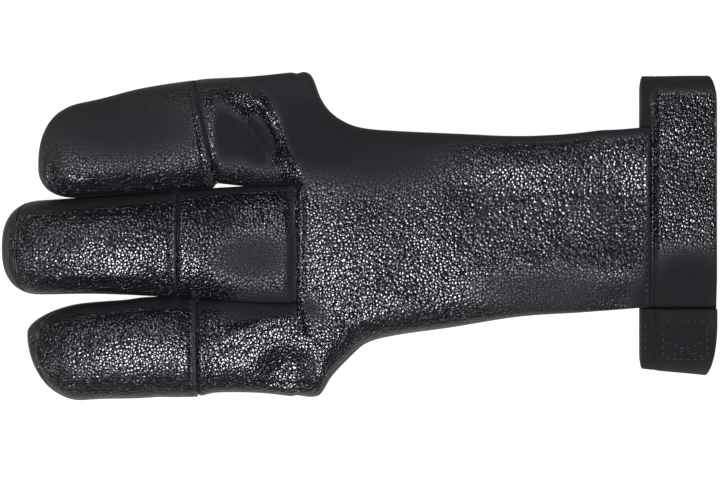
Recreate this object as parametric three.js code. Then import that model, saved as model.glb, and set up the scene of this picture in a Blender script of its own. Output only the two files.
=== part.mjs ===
// A three-finger archery glove in black leather, lying on a table with its back up.
// Fingers point to -X, the wrist strap is at +X, the index finger is on the +Y side, +Z is up.
// The glove is cut and sewn from sheets: three fingertip caps with three pads under them, a back
// panel that runs on over the index and ring fingers, a separate middle finger piece, a palm
// piece, and a wrist strap whose end folds back over itself and closes with a fastening patch.
// Sizes are in millimetres. x = 0 is the knuckle seam and y = 0 the middle finger's centre line
// while the pieces are made; the finished glove is then centred over its own box.

import * as THREE from "three";

// Leather and seams
const bodyLeather = 1.3;
const capLeather = 1.2;
const clearance = 0.3;
const capLap = 6;
const seamHeight = 6.2;
const seamSlack = 0.3;
const tuckStart = 1;
const tuckEnd = 5;

// Sections: exponents of the rounding above and below the seams, how flat the underside lies,
// and the share of a rounded end in which its height comes up
const topSquareness = 2.3;
const bottomSquareness = 3.2;
const bottomFlattening = 1.08;
const noseShare = 0.8;

// Fingers: length from the knuckle seam to the tip, width and height at the fullest,
// capLength from the tip to the cap's edge, rim the pad that shows beyond the cap at the tip,
// tipLength the rounded end, tipSquareness its exponent, tipShift the tip's shift to +Y.
const index = {
  length: 82.6,
  width: 34.4,
  height: 15.4,
  capLength: 53.2,
  capTilt: 0.2,
  rim: 2.8,
  tipLength: 14,
  tipSquareness: 2.2,
  tipShift: -3.5,
};
const middle = {
  length: 94.2,
  width: 38,
  height: 15.4,
  capLength: 56,
  capTilt: 0,
  rim: 4.2,
  tipLength: 13,
  tipSquareness: 2.5,
  tipShift: 0,
};
const ring = {
  length: 86.1,
  width: 29,
  height: 14.6,
  capLength: 54.3,
  capTilt: 0.02,
  rim: 2.2,
  tipLength: 18,
  tipSquareness: 1.9,
  tipShift: 7.8,
};

// Slits between the fingers, which close over slitEnd at the knuckle seam
const slitGap = 0.5;
const slitEnd = 2;
const slitOpening = 1.2;
const slitOpeningAt = 20.5;
const slitOpeningReach = 5.5;
const ringSplay = 0.1;
const ringSplayFrom = 44;

// Hand: the back panel from the knuckle seam to the strap, and the palm piece's open edge
const panelLength = 109.4;
const knuckleHeight = 13.6;
const indexWaist = 34.4;
const ringWaist = 23.2;
const knuckleLap = 4;
const knuckleDipStart = 14;
const knuckleDipEnd = 2;
const palmReach = 3;
const palmWebShare = 0.6;
const palmWebHeight = 0.3;
const edgeRoll = 13;
const webRoll = 5;
const handBlend = 24;
const edgeBlendStart = 10;
const edgeBlendEnd = 15;
const webBlendStart = 4;
const webBlendEnd = 3;
const palmEdgeBlendStart = 2;
const palmEdgeBlendEnd = 4;
const stripSpread = 20;
const stripsEvenStart = 4;
const stripsEvenEnd = 50;
const closeRowsEnd = 14;
const wideRowsStart = 18;
const strapBlend = 0.72;

// Wrist strap: a flattened loop of folded leather, sewn along its finger side
const strapWidth = 24.4;
const strapLeather = 2.6;
const strapIndexReach = 53.6;
const strapRingReach = 42.4;
const wristGap = 6;
const flangeWidth = 3;
const flangeLeather = 1.3;
const flangeFree = 2.2;
const flangeFreeReach = 4;
const weltWidth = 1.5;
const weltHeight = 2.3;
const grooveWidth = 0.8;
const grooveHeight = 1.7;
const strapEdge = 0.4;
const fingerCorner = { index: 1.2, indexReach: 3.6, ring: 1.2, ringReach: 3.2 };
const wristCorner = { index: 3.2, indexReach: 9, ring: 4.4, ringReach: 18 };
const strapSlant = 2.6;
const strapInnerEnd = 1;
const panelLapOnStrap = 2.7;
const tabStep = 3.2;
const tabDip = 12;
const strapStraight = 6;
const patchLeather = 1.6;
const patchLength = 8;
const patchMargin = 2;

// Facets across each sheet
const capColumns = 12;
const padColumns = 14;
const middleColumns = 12;
const palmColumns = 10;
const panelColumns = { index: 12, middle: 8, ring: 9 };

// Widths are shares of each finger's width and heights of its height, against the share of its
// length that has been covered from the tip. side moves the centre line, as a share of the width.
const indexSections = [
  { at: 0, width: 0.83, height: 0.86, side: 0 },
  { at: 0.1, width: 0.848, height: 0.94, side: 0 },
  { at: 0.235, width: 0.89, height: 1, side: 0 },
  { at: 0.4, width: 0.96, height: 1, side: 0 },
  { at: 0.63, width: 1.002, height: 0.96, side: 0 },
  { at: 0.8, width: 1.003, height: 0.9, side: 0 },
  { at: 1, width: 1.03, height: 0.88, side: 0 },
];
const middleSections = [
  { at: 0, width: 0.765, height: 0.86, side: -0.035 },
  { at: 0.12, width: 0.79, height: 0.95, side: -0.03 },
  { at: 0.33, width: 0.82, height: 1, side: -0.01 },
  { at: 0.595, width: 0.9, height: 0.9, side: 0 },
  { at: 0.8, width: 0.965, height: 0.78, side: 0 },
  { at: 1, width: 1, height: 0.77, side: 0 },
];
const ringSections = [
  { at: 0, width: 1.05, height: 0.88, side: 0 },
  { at: 0.13, width: 1.05, height: 0.95, side: 0 },
  { at: 0.27, width: 1.06, height: 1, side: 0 },
  { at: 0.42, width: 1.077, height: 1, side: 0 },
  { at: 0.62, width: 1.06, height: 0.97, side: 0 },
  { at: 0.7, width: 1.005, height: 0.94, side: 0 },
  { at: 0.85, width: 0.983, height: 0.93, side: 0 },
  { at: 1, width: 1.01, height: 0.92, side: 0 },
];

// The back panel from the knuckle seam to the strap. index and ring say how much of the flare
// between waist and knuckles is left on each side; crown and edge are shares of knuckleHeight.
const panelSections = [
  { at: 0, index: 1, ring: 1, crown: 1, edge: 0.46 },
  { at: 0.026, index: 1.02, ring: 1.015, crown: 1, edge: 0.46 },
  { at: 0.046, index: 0.93, ring: 1.02, crown: 1, edge: 0.46 },
  { at: 0.07, index: 0.6, ring: 0.965, crown: 1, edge: 0.46 },
  { at: 0.1, index: 0.375, ring: 0.735, crown: 1, edge: 0.45 },
  { at: 0.15, index: 0.2, ring: 0.5, crown: 0.99, edge: 0.44 },
  { at: 0.2, index: 0.125, ring: 0.3, crown: 0.97, edge: 0.43 },
  { at: 0.28, index: 0.088, ring: 0.21, crown: 0.95, edge: 0.42 },
  { at: 0.45, index: 0.045, ring: 0.138, crown: 0.92, edge: 0.42 },
  { at: 0.65, index: 0.003, ring: 0, crown: 0.9, edge: 0.46 },
  { at: 0.85, index: 0.048, ring: -0.06, crown: 0.88, edge: 0.56 },
  { at: 1, index: 0.12, ring: -0.12, crown: 0.86, edge: 0.7 },
];

// Hollows pressed into the back panel over a finger's base: place and reach as shares of that
// finger's length and width, from the knuckle seam and its -Y side; depth a share of its height.
const dents = [
  { on: index, along: -0.11, across: 0.46, reachAlong: 0.11, reachAcross: 0.36, depth: 0.2 },
  { on: ring, along: -0.03, across: 0.31, reachAlong: 0.14, reachAcross: 0.3, depth: 0.13 },
];

const mix = THREE.MathUtils.lerp;
const between = THREE.MathUtils.clamp;
const ease = (x, from, to) => THREE.MathUtils.smoothstep(x, from, to);

// A smooth value from a table's column, through all its rows.
function tableAt(rows, column, at) {
  const t = between(at, rows[0].at, rows[rows.length - 1].at);
  let i = 0;
  while (i < rows.length - 2 && t > rows[i + 1].at) i++;
  const slope = (k) => {
    const a = rows[Math.max(k - 1, 0)];
    const b = rows[Math.min(k + 1, rows.length - 1)];
    return (b[column] - a[column]) / (b.at - a.at);
  };
  const span = rows[i + 1].at - rows[i].at;
  const u = (t - rows[i].at) / span;
  const rise = rows[i + 1][column] - rows[i][column];
  const startSlope = slope(i) * span;
  const endSlope = slope(i + 1) * span;
  const bend = startSlope + endSlope - 2 * rise;
  return rows[i][column] + u * (startSlope + u * (3 * rise - 2 * startSlope - endSlope + u * bend));
}

// How far a rolled edge has risen, from 0 at the edge to 1 at the roll's reach.
function rolled(distance, reach) {
  const left = 1 - between(distance / reach, 0, 1);
  return (1 - left ** topSquareness) ** (1 / topSquareness);
}

const signedPower = (value, power) => Math.sign(value) * Math.abs(value) ** power;

// The fingers' plan: each pair of neighbours shares a slit, and widths stack up from the middle.
const shareOfLength = (finger, x) => (x + finger.length) / finger.length;
const widthOf = (finger, x) =>
  finger.width * tableAt(finger.sections, "width", shareOfLength(finger, x));
const middleAxis = (x) => middle.width * tableAt(middleSections, "side", shareOfLength(middle, x));

function slitTo(neighbour, x) {
  const splay = neighbour === ring ? ringSplay * Math.max(0, -ringSplayFrom - x) : 0;
  return (1 - ease(x, -slitEnd, 0)) * (slitGap + splay);
}

// The small opening in the slit beside the index finger's base.
const openingAt = (x) =>
  slitOpening * Math.max(0, 1 - ((x + slitOpeningAt) / slitOpeningReach) ** 2);

const middleUpper = (x) => middleAxis(x) + widthOf(middle, x) / 2;
const middleLower = (x) => middleAxis(x) - widthOf(middle, x) / 2;
const axisOf = (finger, x) => (finger.upper(x) + finger.lower(x)) / 2;

Object.assign(index, {
  sections: indexSections,
  lower: (x) => middleUpper(x) + slitTo(index, x) + openingAt(x),
  upper: (x) => middleUpper(x) + slitTo(index, x) + widthOf(index, x),
});
Object.assign(middle, { sections: middleSections, lower: middleLower, upper: middleUpper });
Object.assign(ring, {
  sections: ringSections,
  lower: (x) => middleLower(x) - slitTo(ring, x) - widthOf(ring, x),
  upper: (x) => middleLower(x) - slitTo(ring, x),
});

const knuckleUnderside = knuckleHeight - bodyLeather - clearance;

// The crown of a finger's top, before its tip rounds off.
function crownOf(finger, x) {
  const own = finger.height * tableAt(finger.sections, "height", shareOfLength(finger, x));
  if (finger !== middle) return own;
  return mix(own, knuckleUnderside, ease(x, -knuckleDipStart, -knuckleDipEnd));
}

// How deep a body sheet is tucked under the cap that laps over it, whose edge leans with y.
function tuckOf(finger, x, y) {
  const lean = y === undefined ? 0 : finger.capTilt * (y - axisOf(finger, x));
  const capEdge = finger.capLength - finger.length - lean;
  return (capLeather + clearance) * (1 - ease(x, capEdge + tuckStart, capEdge + tuckEnd));
}

// A point on a finger's outside, s from its tip, at an angle round its section: 0 on the +Y side,
// a quarter turn on top. inset moves it inwards for a sheet that lies under another.
function fingerPoint(finger, s, angle, inset = 0) {
  const x = s - finger.length;
  const left = 1 - between(s / finger.tipLength, 0, 1);
  const round = (1 - left ** finger.tipSquareness) ** (1 / finger.tipSquareness);
  const nose = 1 - between(s / (finger.tipLength * noseShare), 0, 1);
  const noseRound = Math.sqrt(1 - nose ** 2);
  const half = ((finger.upper(x) - finger.lower(x)) / 2) * round - inset;
  const axis = axisOf(finger, x) + finger.tipShift * (1 - round);
  const sine = Math.sin(angle);
  const squareness = sine >= 0 ? topSquareness : bottomSquareness;
  const y = axis + half * signedPower(Math.cos(angle), 2 / squareness);
  const reach = Math.abs(sine) ** (2 / squareness);
  if (sine >= 0) {
    const rise = (crownOf(finger, x) - seamHeight) * noseRound - inset;
    return new THREE.Vector3(x, y, seamHeight + rise * reach);
  }
  const depth = seamHeight * noseRound - inset;
  return new THREE.Vector3(x, y, seamHeight - depth * Math.min(1, bottomFlattening * reach));
}

// Evenly counted numbers from a to b, bunched towards a when power is over 1.
function steps(a, b, count, power = 1) {
  return Array.from({ length: count + 1 }, (_, i) => mix(a, b, (i / count) ** power));
}

// Grid of points: one row for each entry of rows, pointAt(row, share across).
const grid = (rows, columns, pointAt) =>
  rows.map((row) => steps(0, 1, columns).map((across) => pointAt(row, across)));

// The narrow strips past a grid's two long edges, one column wide.
const besides = (rows, columns, pointAt) => [
  grid(rows, 1, (row, across) => pointAt(row, (across - 1) / columns)),
  grid(rows, 1, (row, across) => pointAt(row, 1 + across / columns)),
];

// A closed solid from grids of outside points that meet edge to edge, with a wall inside them.
// beyond holds strips past its edges, which only say how the surface would go on there.
function sheetGeometry(grids, wall, beyond = []) {
  const points = [];
  const known = new Map();
  const faces = [];
  const idOf = (p) => {
    const key = [p.x, p.y, p.z].map((value) => Math.round(value * 500)).join();
    if (!known.has(key)) {
      known.set(key, points.length);
      points.push(p);
    }
    return known.get(key);
  };
  const addFaces = (rows, list) => {
    const ids = rows.map((row) => row.map(idOf));
    const addFace = (a, b, c) => {
      if (a !== b && b !== c && c !== a) list.push([a, b, c]);
    };
    for (let i = 0; i + 1 < ids.length; i++) {
      for (let j = 0; j + 1 < ids[i].length; j++) {
        addFace(ids[i][j], ids[i + 1][j + 1], ids[i + 1][j]);
        addFace(ids[i][j], ids[i][j + 1], ids[i + 1][j + 1]);
      }
    }
  };
  const guides = [];
  for (const rows of grids) addFaces(rows, faces);
  for (const rows of beyond) addFaces(rows, guides);
  const normals = points.map(() => new THREE.Vector3());
  for (const [a, b, c] of [...faces, ...guides]) {
    const toB = points[b].clone().sub(points[a]);
    const toC = points[c].clone().sub(points[a]);
    const normal = toB.cross(toC);
    for (const id of [a, b, c]) normals[id].add(normal);
  }
  const edges = new Set();
  for (const [a, b, c] of faces) {
    for (const [from, to] of [[a, b], [b, c], [c, a]]) edges.add(from + ">" + to);
  }
  const inside = points.map((p, i) => {
    if (Math.abs(p.z - seamHeight) < seamSlack && !beyond.length) normals[i].z = 0;
    return p.clone().addScaledVector(normals[i].normalize(), -wall);
  });
  const positions = [];
  const add = (...corners) => corners.forEach((p) => positions.push(p.x, p.y, p.z));
  for (const [a, b, c] of faces) {
    add(points[a], points[b], points[c]);
    add(inside[c], inside[b], inside[a]);
    for (const [from, to] of [[a, b], [b, c], [c, a]]) {
      if (edges.has(to + ">" + from)) continue;
      add(points[to], points[from], inside[from]);
      add(points[to], inside[from], inside[to]);
    }
  }
  const geometry = new THREE.BufferGeometry();
  geometry.setAttribute("position", new THREE.Float32BufferAttribute(positions, 3));
  geometry.computeVertexNormals();
  return geometry;
}

const leatherBlack = new THREE.MeshStandardMaterial({ color: 0x1c1b20, roughness: 0.42, metalness: 0 });
const capBlack = new THREE.MeshStandardMaterial({ color: 0x1a1a1e, roughness: 0.4, metalness: 0 });
const strapBlack = new THREE.MeshStandardMaterial({ color: 0x1b1c1f, roughness: 0.45, metalness: 0 });
const patchBlack = new THREE.MeshStandardMaterial({ color: 0x101012, roughness: 0.9, metalness: 0 });

const glove = new THREE.Group();

function addPiece(name, geometry, material) {
  const piece = new THREE.Mesh(geometry, material);
  piece.name = name;
  glove.add(piece);
}

// Fingertips: the cap is the top sheet and the pad the sheet under it, which turns up over the
// tip. Their seam starts on top, a rim's width from the tip, and drops quickly to the sides.
const seamFall = 5;

function seamAngle(finger, s) {
  const share = between((s - finger.rim) / (finger.tipLength - finger.rim), 0, 1);
  return (Math.PI / 2) * (1 - share) ** seamFall;
}

// Half of the slack at the seam, as an angle at that section.
function slackAngle(finger, s) {
  const rise = crownOf(finger, s - finger.length) - seamHeight;
  return seamSlack / 2 / rise;
}

function capRows(finger) {
  const start = finger.rim + seamSlack / 2;
  const bend = [0, 0.012, 0.04, 0.09, 0.18, 0.34, 0.6, 1];
  const nose = bend.map((share) => mix(start, finger.tipLength, share));
  return [...nose, ...steps(finger.tipLength, finger.capLength, 4).slice(1)];
}

// The cap's edge is tilted, so its last rows lean with it.
function leaned(finger, s, point) {
  const share = between(s / finger.capLength, 0, 1) ** 4;
  return s - finger.capTilt * (point.y - axisOf(finger, point.x)) * share;
}

function capGeometry(finger) {
  const rows = capRows(finger);
  const first = rows[0];
  const pointAt = (s, across) => {
    const open = seamAngle(finger, s - seamSlack / 2) + slackAngle(finger, s);
    const seam = s === first ? Math.PI / 2 : open;
    const angle = mix(seam, Math.PI - seam, across);
    const upright = fingerPoint(finger, s, angle);
    return fingerPoint(finger, leaned(finger, s, upright), angle);
  };
  const beyond = besides(rows, capColumns, pointAt);
  return sheetGeometry([grid(rows, capColumns, pointAt)], capLeather, beyond);
}

function padGeometry(finger) {
  const start = finger.rim - seamSlack / 2;
  const nose = [0, 0.06, 0.22, 0.55, 1].map((share) => start * share);
  const rows = [...nose, ...capRows(finger).slice(2).map((s) => s - seamSlack / 2)];
  const pointAt = (s, across) => {
    const open = seamAngle(finger, s + seamSlack / 2) - slackAngle(finger, s);
    const seam = s <= start ? Math.PI / 2 : open;
    const angle = mix(Math.PI - seam, 2 * Math.PI + seam, across);
    return fingerPoint(finger, s, angle);
  };
  const beyond = besides(rows.slice(nose.length - 1), padColumns, pointAt);
  return sheetGeometry([grid(rows, padColumns, pointAt)], capLeather, beyond);
}

for (const [name, finger] of Object.entries({ index, middle, ring })) {
  addPiece(name + "_cap", capGeometry(finger), capBlack);
  addPiece(name + "_pad", padGeometry(finger), capBlack);
}

// Middle finger piece: from under the cap to under the back panel's edge at the knuckle seam.
function middlePieceGeometry() {
  const capEdge = middle.capLength - middle.length;
  const rows = [
    ...steps(capEdge - capLap, capEdge + 1, 2),
    ...steps(capEdge + 3, -3, 5),
    ...steps(0, knuckleLap, 2),
  ];
  const slack = slackAngle(middle, middle.length - knuckleDipStart);
  const pointAt = (x, across) => {
    const angle = mix(slack, Math.PI - slack, across);
    return fingerPoint(middle, x + middle.length, angle, tuckOf(middle, x));
  };
  return sheetGeometry([grid(rows, middleColumns, pointAt)], bodyLeather);
}
addPiece("middle_finger_piece", middlePieceGeometry(), leatherBlack);

// Palm piece: the undersides of the three fingers from under the pads to the palm's open edge,
// one sheet once the slits have ended.
function palmPieceGeometry() {
  const rows = (finger) => {
    const capEdge = finger.capLength - finger.length;
    return [
      ...steps(capEdge - capLap, capEdge + 1, 2),
      ...steps(capEdge + 3, -4, 4),
      -1.2,
      0,
      palmReach / 2,
      palmReach,
    ];
  };
  const fingerGrid = (finger) =>
    grid(rows(finger), palmColumns, (x, across) => {
      const angle = mix(Math.PI, 2 * Math.PI, across);
      const below = fingerPoint(finger, x + finger.length, angle, tuckOf(finger, x));
      const inner = finger === index ? 1 - across : across;
      const webSide = finger === middle ? Math.abs(2 * across - 1) : inner;
      const flattening = ease(x, -1, palmReach) * ease(webSide, palmWebShare, 1);
      const ceiling = seamHeight - seamSlack / 2;
      below.z = Math.min(below.z, ceiling);
      below.z = mix(below.z, Math.min(below.z, ceiling * palmWebHeight), flattening);
      return below;
    });
  return sheetGeometry([fingerGrid(index), fingerGrid(middle), fingerGrid(ring)], bodyLeather);
}
addPiece("palm_piece", palmPieceGeometry(), leatherBlack);

// Wrist strap, as a path in the YZ plane: from its inner end, which lies low under the tab, along
// the front, round the index side, back underneath, round the ring side and over as the tab.
const strapRearZ = strapLeather / 2;
const strapFrontZ = strapLeather * 1.5 + wristGap;
const strapInnerEndZ = strapFrontZ - tabStep;
const tabZ = strapInnerEndZ + strapLeather + patchLeather + 2 * clearance;
const indexBend = (strapFrontZ - strapRearZ) / 2;
const ringBend = (tabZ - strapRearZ) / 2;
const indexBendY = strapIndexReach - strapLeather / 2 - indexBend;
const ringBendY = -strapRingReach + strapLeather / 2 + ringBend;
const flareLeft = (side, at) => tableAt(panelSections, side, at);
const indexCorner = index.upper(0);
const ringCorner = -ring.lower(0);
const panelUpper = (x) => mix(indexWaist, indexCorner, flareLeft("index", x / panelLength));
const panelLower = (x) => -mix(ringWaist, ringCorner, flareLeft("ring", x / panelLength));
const tabEndY = panelLower(panelLength) - 2 * clearance;
const dipStartY = tabEndY - 1;
const dipEndY = tabEndY + tabDip;

const strapFrontCentre = (y) => mix(strapInnerEndZ, strapFrontZ, ease(y, dipStartY, dipEndY));

function strapPath() {
  const path = [];
  const add = (y, z) => path.push(new THREE.Vector2(y, z));
  const innerEndY = ringBendY + strapInnerEnd;
  for (const y of [innerEndY, ...steps(dipStartY, dipEndY, 7)]) add(y, strapFrontCentre(y));
  const pastPanelY = panelUpper(panelLength) + clearance;
  for (const y of [dipEndY + strapStraight, pastPanelY, indexBendY - strapStraight / 2]) {
    add(y, strapFrontZ);
  }
  for (const turn of steps(Math.PI / 2, -Math.PI / 2, 8)) {
    add(indexBendY + indexBend * Math.cos(turn), strapRearZ + indexBend + indexBend * Math.sin(turn));
  }
  for (const y of steps(indexBendY - strapStraight, ringBendY + strapStraight, 3)) add(y, strapRearZ);
  for (const turn of steps(-Math.PI / 2, -1.5 * Math.PI, 8)) {
    add(ringBendY + ringBend * Math.cos(turn), strapRearZ + ringBend + ringBend * Math.sin(turn));
  }
  add((ringBendY + tabEndY) / 2, tabZ);
  add(tabEndY, tabZ);
  return path;
}

// How thick the strap's flange is at y: thin where the back panel laps on it, fuller past that.
function flangeAt(y) {
  const past = Math.max(y - panelUpper(panelLength), panelLower(panelLength) - y);
  return mix(flangeLeather, flangeFree, ease(past, clearance, flangeFreeReach));
}

// The strap's section: along the width from its finger side, and outwards from its inner face.
function strapSection(flange) {
  const weltStart = flangeWidth + 0.2;
  const grooveStart = weltStart + weltWidth;
  const mainStart = grooveStart + grooveWidth;
  return [
    [0, flange * 0.35],
    [strapEdge, 0],
    [strapWidth - 0.8, 0],
    [strapWidth, strapLeather * 0.4],
    [strapWidth - 0.3, strapLeather * 0.8],
    [strapWidth - 1.2, strapLeather],
    [mainStart + strapEdge, strapLeather],
    [mainStart, grooveHeight],
    [grooveStart + 0.2, grooveHeight],
    [grooveStart, weltHeight],
    [weltStart + 0.2, weltHeight],
    [weltStart, flange],
    [0.3, flange],
  ].map(([across, out]) => new THREE.Vector2(across, out));
}

// Rounded corners where the strap turns over: an edge draws in towards each bend.
function strapInset(y, corner) {
  const draw = (left, reach) => 1 - Math.sqrt(1 - between(1 - left / reach, 0, 1) ** 2);
  return Math.max(
    corner.index * draw(strapIndexReach - y, corner.indexReach),
    corner.ring * draw(strapRingReach + y, corner.ringReach),
  );
}

// The ring side's bend runs slantwise: the finger side of the strap reaches less far there.
function strapSlantAt(x, y) {
  return strapSlant * (1 - x / strapWidth) * ease(-y, -tabEndY + 2, strapRingReach - 4);
}

function strapGeometry() {
  const path = strapPath();
  const rings = path.map((at, i) => {
    const before = path[Math.max(i - 1, 0)];
    const after = path[Math.min(i + 1, path.length - 1)];
    const along = after.clone().sub(before).normalize();
    const outwards = new THREE.Vector2(-along.y, along.x);
    const start = strapInset(at.x, fingerCorner);
    const end = strapWidth - strapInset(at.x, wristCorner);
    return strapSection(flangeAt(at.x)).map((corner) => {
      const x = mix(start, end, corner.x / strapWidth);
      const out = outwards.clone().multiplyScalar(corner.y - strapLeather / 2).add(at);
      return new THREE.Vector3(panelLength + x, out.x + strapSlantAt(x, out.x), out.y);
    });
  });
  const positions = [];
  const add = (...corners) => corners.forEach((p) => positions.push(p.x, p.y, p.z));
  const section = strapSection(flangeLeather);
  for (let i = 0; i + 1 < rings.length; i++) {
    for (let j = 0; j < section.length; j++) {
      const next = (j + 1) % section.length;
      add(rings[i][j], rings[i + 1][next], rings[i][next]);
      add(rings[i][j], rings[i + 1][j], rings[i + 1][next]);
    }
  }
  for (const [a, b, c] of THREE.ShapeUtils.triangulateShape(section, [])) {
    const first = rings[0];
    const last = rings[rings.length - 1];
    add(first[a], first[b], first[c]);
    add(last[c], last[b], last[a]);
  }
  const geometry = new THREE.BufferGeometry();
  geometry.setAttribute("position", new THREE.Float32BufferAttribute(positions, 3));
  geometry.computeVertexNormals();
  return geometry;
}
addPiece("wrist_strap", strapGeometry(), strapBlack);

// Fastening patch, closed: one plain pad between the tab and the strap's inner end.
function patchGeometry() {
  const width = strapWidth - flangeWidth - weltWidth - grooveWidth - patchMargin * 2;
  return new THREE.BoxGeometry(width, patchLength, patchLeather);
}
addPiece("fastening_patch", patchGeometry(), patchBlack);
glove.getObjectByName("fastening_patch").position.set(
  panelLength + (strapWidth + flangeWidth + weltWidth + grooveWidth) / 2,
  tabEndY - clearance * 2 - patchLength / 2,
  strapInnerEndZ + strapLeather / 2 + clearance + patchLeather / 2,
);

// Back panel: three strips side by side. The outer two start under the index and ring caps, the
// one between them at the knuckle seam, and the three are one sheet from there to the strap.
const strapSeatRise = flangeLeather + clearance + bodyLeather - strapLeather / 2;
const strapSeat = (y) => strapFrontCentre(y) + strapSeatRise;
const panelCrown = (x) => knuckleHeight * tableAt(panelSections, "crown", x / panelLength);
const panelEdge = (x) => knuckleHeight * tableAt(panelSections, "edge", x / panelLength);

function dentDepth(x, y) {
  return dents.reduce((depth, dent) => {
    const finger = dent.on;
    const u = (x - dent.along * finger.length) / (dent.reachAlong * finger.length);
    const v = (y - finger.lower(0) - dent.across * finger.width) / (dent.reachAcross * finger.width);
    const inside = Math.max(0, 1 - u * u - v * v);
    return depth + dent.depth * finger.height * inside * inside;
  }, 0);
}

// A strip's edges: the finger's own, or in the hand a share of the panel, drawn to even thirds.
function stripEdges(finger, x) {
  if (x < 0) return [finger.lower(x), finger.upper(x)];
  const bottom = panelLower(x);
  const top = panelUpper(x);
  const evened = ease(x, stripsEvenStart, stripsEvenEnd);
  const lowerWeb = mix(middleLower(0), mix(bottom, top, 1 / 3), evened);
  const upperWeb = mix(middleUpper(0), mix(bottom, top, 2 / 3), evened);
  if (finger === index) return [upperWeb, top];
  return finger === middle ? [lowerWeb, upperWeb] : [bottom, lowerWeb];
}

// The outside of the back panel at a place, given as x and the share across a strip.
function panelPoint(finger, x, across) {
  const inHand = ease(x, -handBlend, -knuckleDipEnd);
  const [lower, upper] = stripEdges(finger, x);
  const bunched = (1 - signedPower(Math.cos(Math.PI * across), 2 / topSquareness)) / 2;
  const share = mix(bunched, across, ease(x, 0, stripSpread));
  const tuck = x < 0 && finger !== middle ? tuckOf(finger, x, mix(upper, lower, share)) : 0;
  const y = mix(upper - tuck, lower + tuck, share);
  const half = (upper - lower) / 2 - tuck;
  const fingerCrown = finger === middle ? panelCrown(x) : crownOf(finger, x);
  const crown = mix(fingerCrown, panelCrown(x), inHand) - tuck;
  const web = seamHeight + seamSlack / 2;
  const webLeft = 1 - ease(x, -webBlendStart, webBlendEnd);
  const webReach = mix(half, webRoll, inHand);
  const pastPalm = ease(x, palmReach - palmEdgeBlendStart, palmReach + palmEdgeBlendEnd);
  const outerEdge = mix(web, panelEdge(x), pastPalm);
  const fullReach = Math.min(edgeRoll, half * 1.6);
  const outerReach = mix(half, fullReach, ease(x, -edgeBlendStart, edgeBlendEnd));
  const drop = (distance, reach, foot) => (crown - foot) * (1 - rolled(distance, reach));
  const toUpper = upper - tuck - y;
  const toLower = y - lower - tuck;
  let z = crown;
  const outerDrop = (distance) => drop(distance, outerReach, outerEdge);
  const webDrop = (distance) => webLeft * drop(distance, webReach, web);
  z -= finger === index ? outerDrop(toUpper) : webDrop(toUpper);
  z -= finger === ring ? outerDrop(toLower) : webDrop(toLower);
  z -= dentDepth(x, y);
  const seated = ease(x, panelLength * strapBlend, panelLength - 1);
  return new THREE.Vector3(x, y, mix(z, strapSeat(y), seated));
}

function panelGeometry() {
  const hand = [
    0,
    1.2,
    ...steps(2.6, closeRowsEnd, 6),
    ...steps(wideRowsStart, panelLength - 2, 9),
    panelLength + panelLapOnStrap,
  ];
  const fingerRows = (finger) => {
    const capEdge = finger.capLength - finger.length;
    return [...steps(capEdge - capLap, capEdge + 1, 2), ...steps(capEdge + 3, -5, 5), -2.4, -0.8];
  };
  const strip = (finger, rows, columns) =>
    grid(rows, columns, (x, across) => panelPoint(finger, x, across));
  return sheetGeometry(
    [
      strip(index, [...fingerRows(index), ...hand], panelColumns.index),
      strip(middle, hand, panelColumns.middle),
      strip(ring, [...fingerRows(ring), ...hand], panelColumns.ring),
    ],
    bodyLeather,
  );
}
addPiece("back_panel", panelGeometry(), leatherBlack);

// The glove's own box gives its frame: centred in plan, standing on z = 0.
const box = new THREE.Box3().setFromObject(glove);
const middleOfBox = box.getCenter(new THREE.Vector3());
glove.position.set(-middleOfBox.x, -middleOfBox.y, -box.min.z);

const part = new THREE.Group();
part.add(glove);

export default part;
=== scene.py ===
"""A three-finger archery glove in black pebbled leather, lying with its back up.

Each CAD sheet is rebuilt here from the same section tables, finely enough to carry its seams,
folds and rolled edges, and finished with procedural leather. Lengths in the tables and formulas
are millimetres in the glove's own frame, with x = 0 at the knuckle seam, and those of the folds
and the polish are millimetres in the shared frame. Meshes, lights and the camera are in metres.
"""
import math
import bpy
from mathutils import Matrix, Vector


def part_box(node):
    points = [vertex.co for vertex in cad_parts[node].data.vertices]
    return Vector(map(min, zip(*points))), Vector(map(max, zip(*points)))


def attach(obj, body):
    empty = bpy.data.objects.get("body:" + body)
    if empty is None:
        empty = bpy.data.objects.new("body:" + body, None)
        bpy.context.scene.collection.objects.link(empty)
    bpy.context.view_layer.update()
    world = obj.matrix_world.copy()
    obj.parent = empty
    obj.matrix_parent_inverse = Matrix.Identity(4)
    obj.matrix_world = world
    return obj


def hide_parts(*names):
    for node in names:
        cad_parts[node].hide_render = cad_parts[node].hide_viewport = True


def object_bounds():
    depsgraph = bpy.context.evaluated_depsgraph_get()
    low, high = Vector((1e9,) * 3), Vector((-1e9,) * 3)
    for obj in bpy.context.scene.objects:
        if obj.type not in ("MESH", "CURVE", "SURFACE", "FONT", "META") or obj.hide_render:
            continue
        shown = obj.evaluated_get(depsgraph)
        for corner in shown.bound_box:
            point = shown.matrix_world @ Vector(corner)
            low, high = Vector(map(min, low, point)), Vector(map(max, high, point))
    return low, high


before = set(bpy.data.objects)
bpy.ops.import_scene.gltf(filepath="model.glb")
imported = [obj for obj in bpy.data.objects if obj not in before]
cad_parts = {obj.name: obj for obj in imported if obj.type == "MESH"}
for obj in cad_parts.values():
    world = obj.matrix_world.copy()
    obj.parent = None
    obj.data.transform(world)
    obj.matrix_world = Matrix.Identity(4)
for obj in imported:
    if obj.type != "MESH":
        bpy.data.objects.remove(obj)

from types import SimpleNamespace

import bpy
import numpy as np
from mathutils import Vector

cad_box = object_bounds()

MM = 0.001

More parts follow.
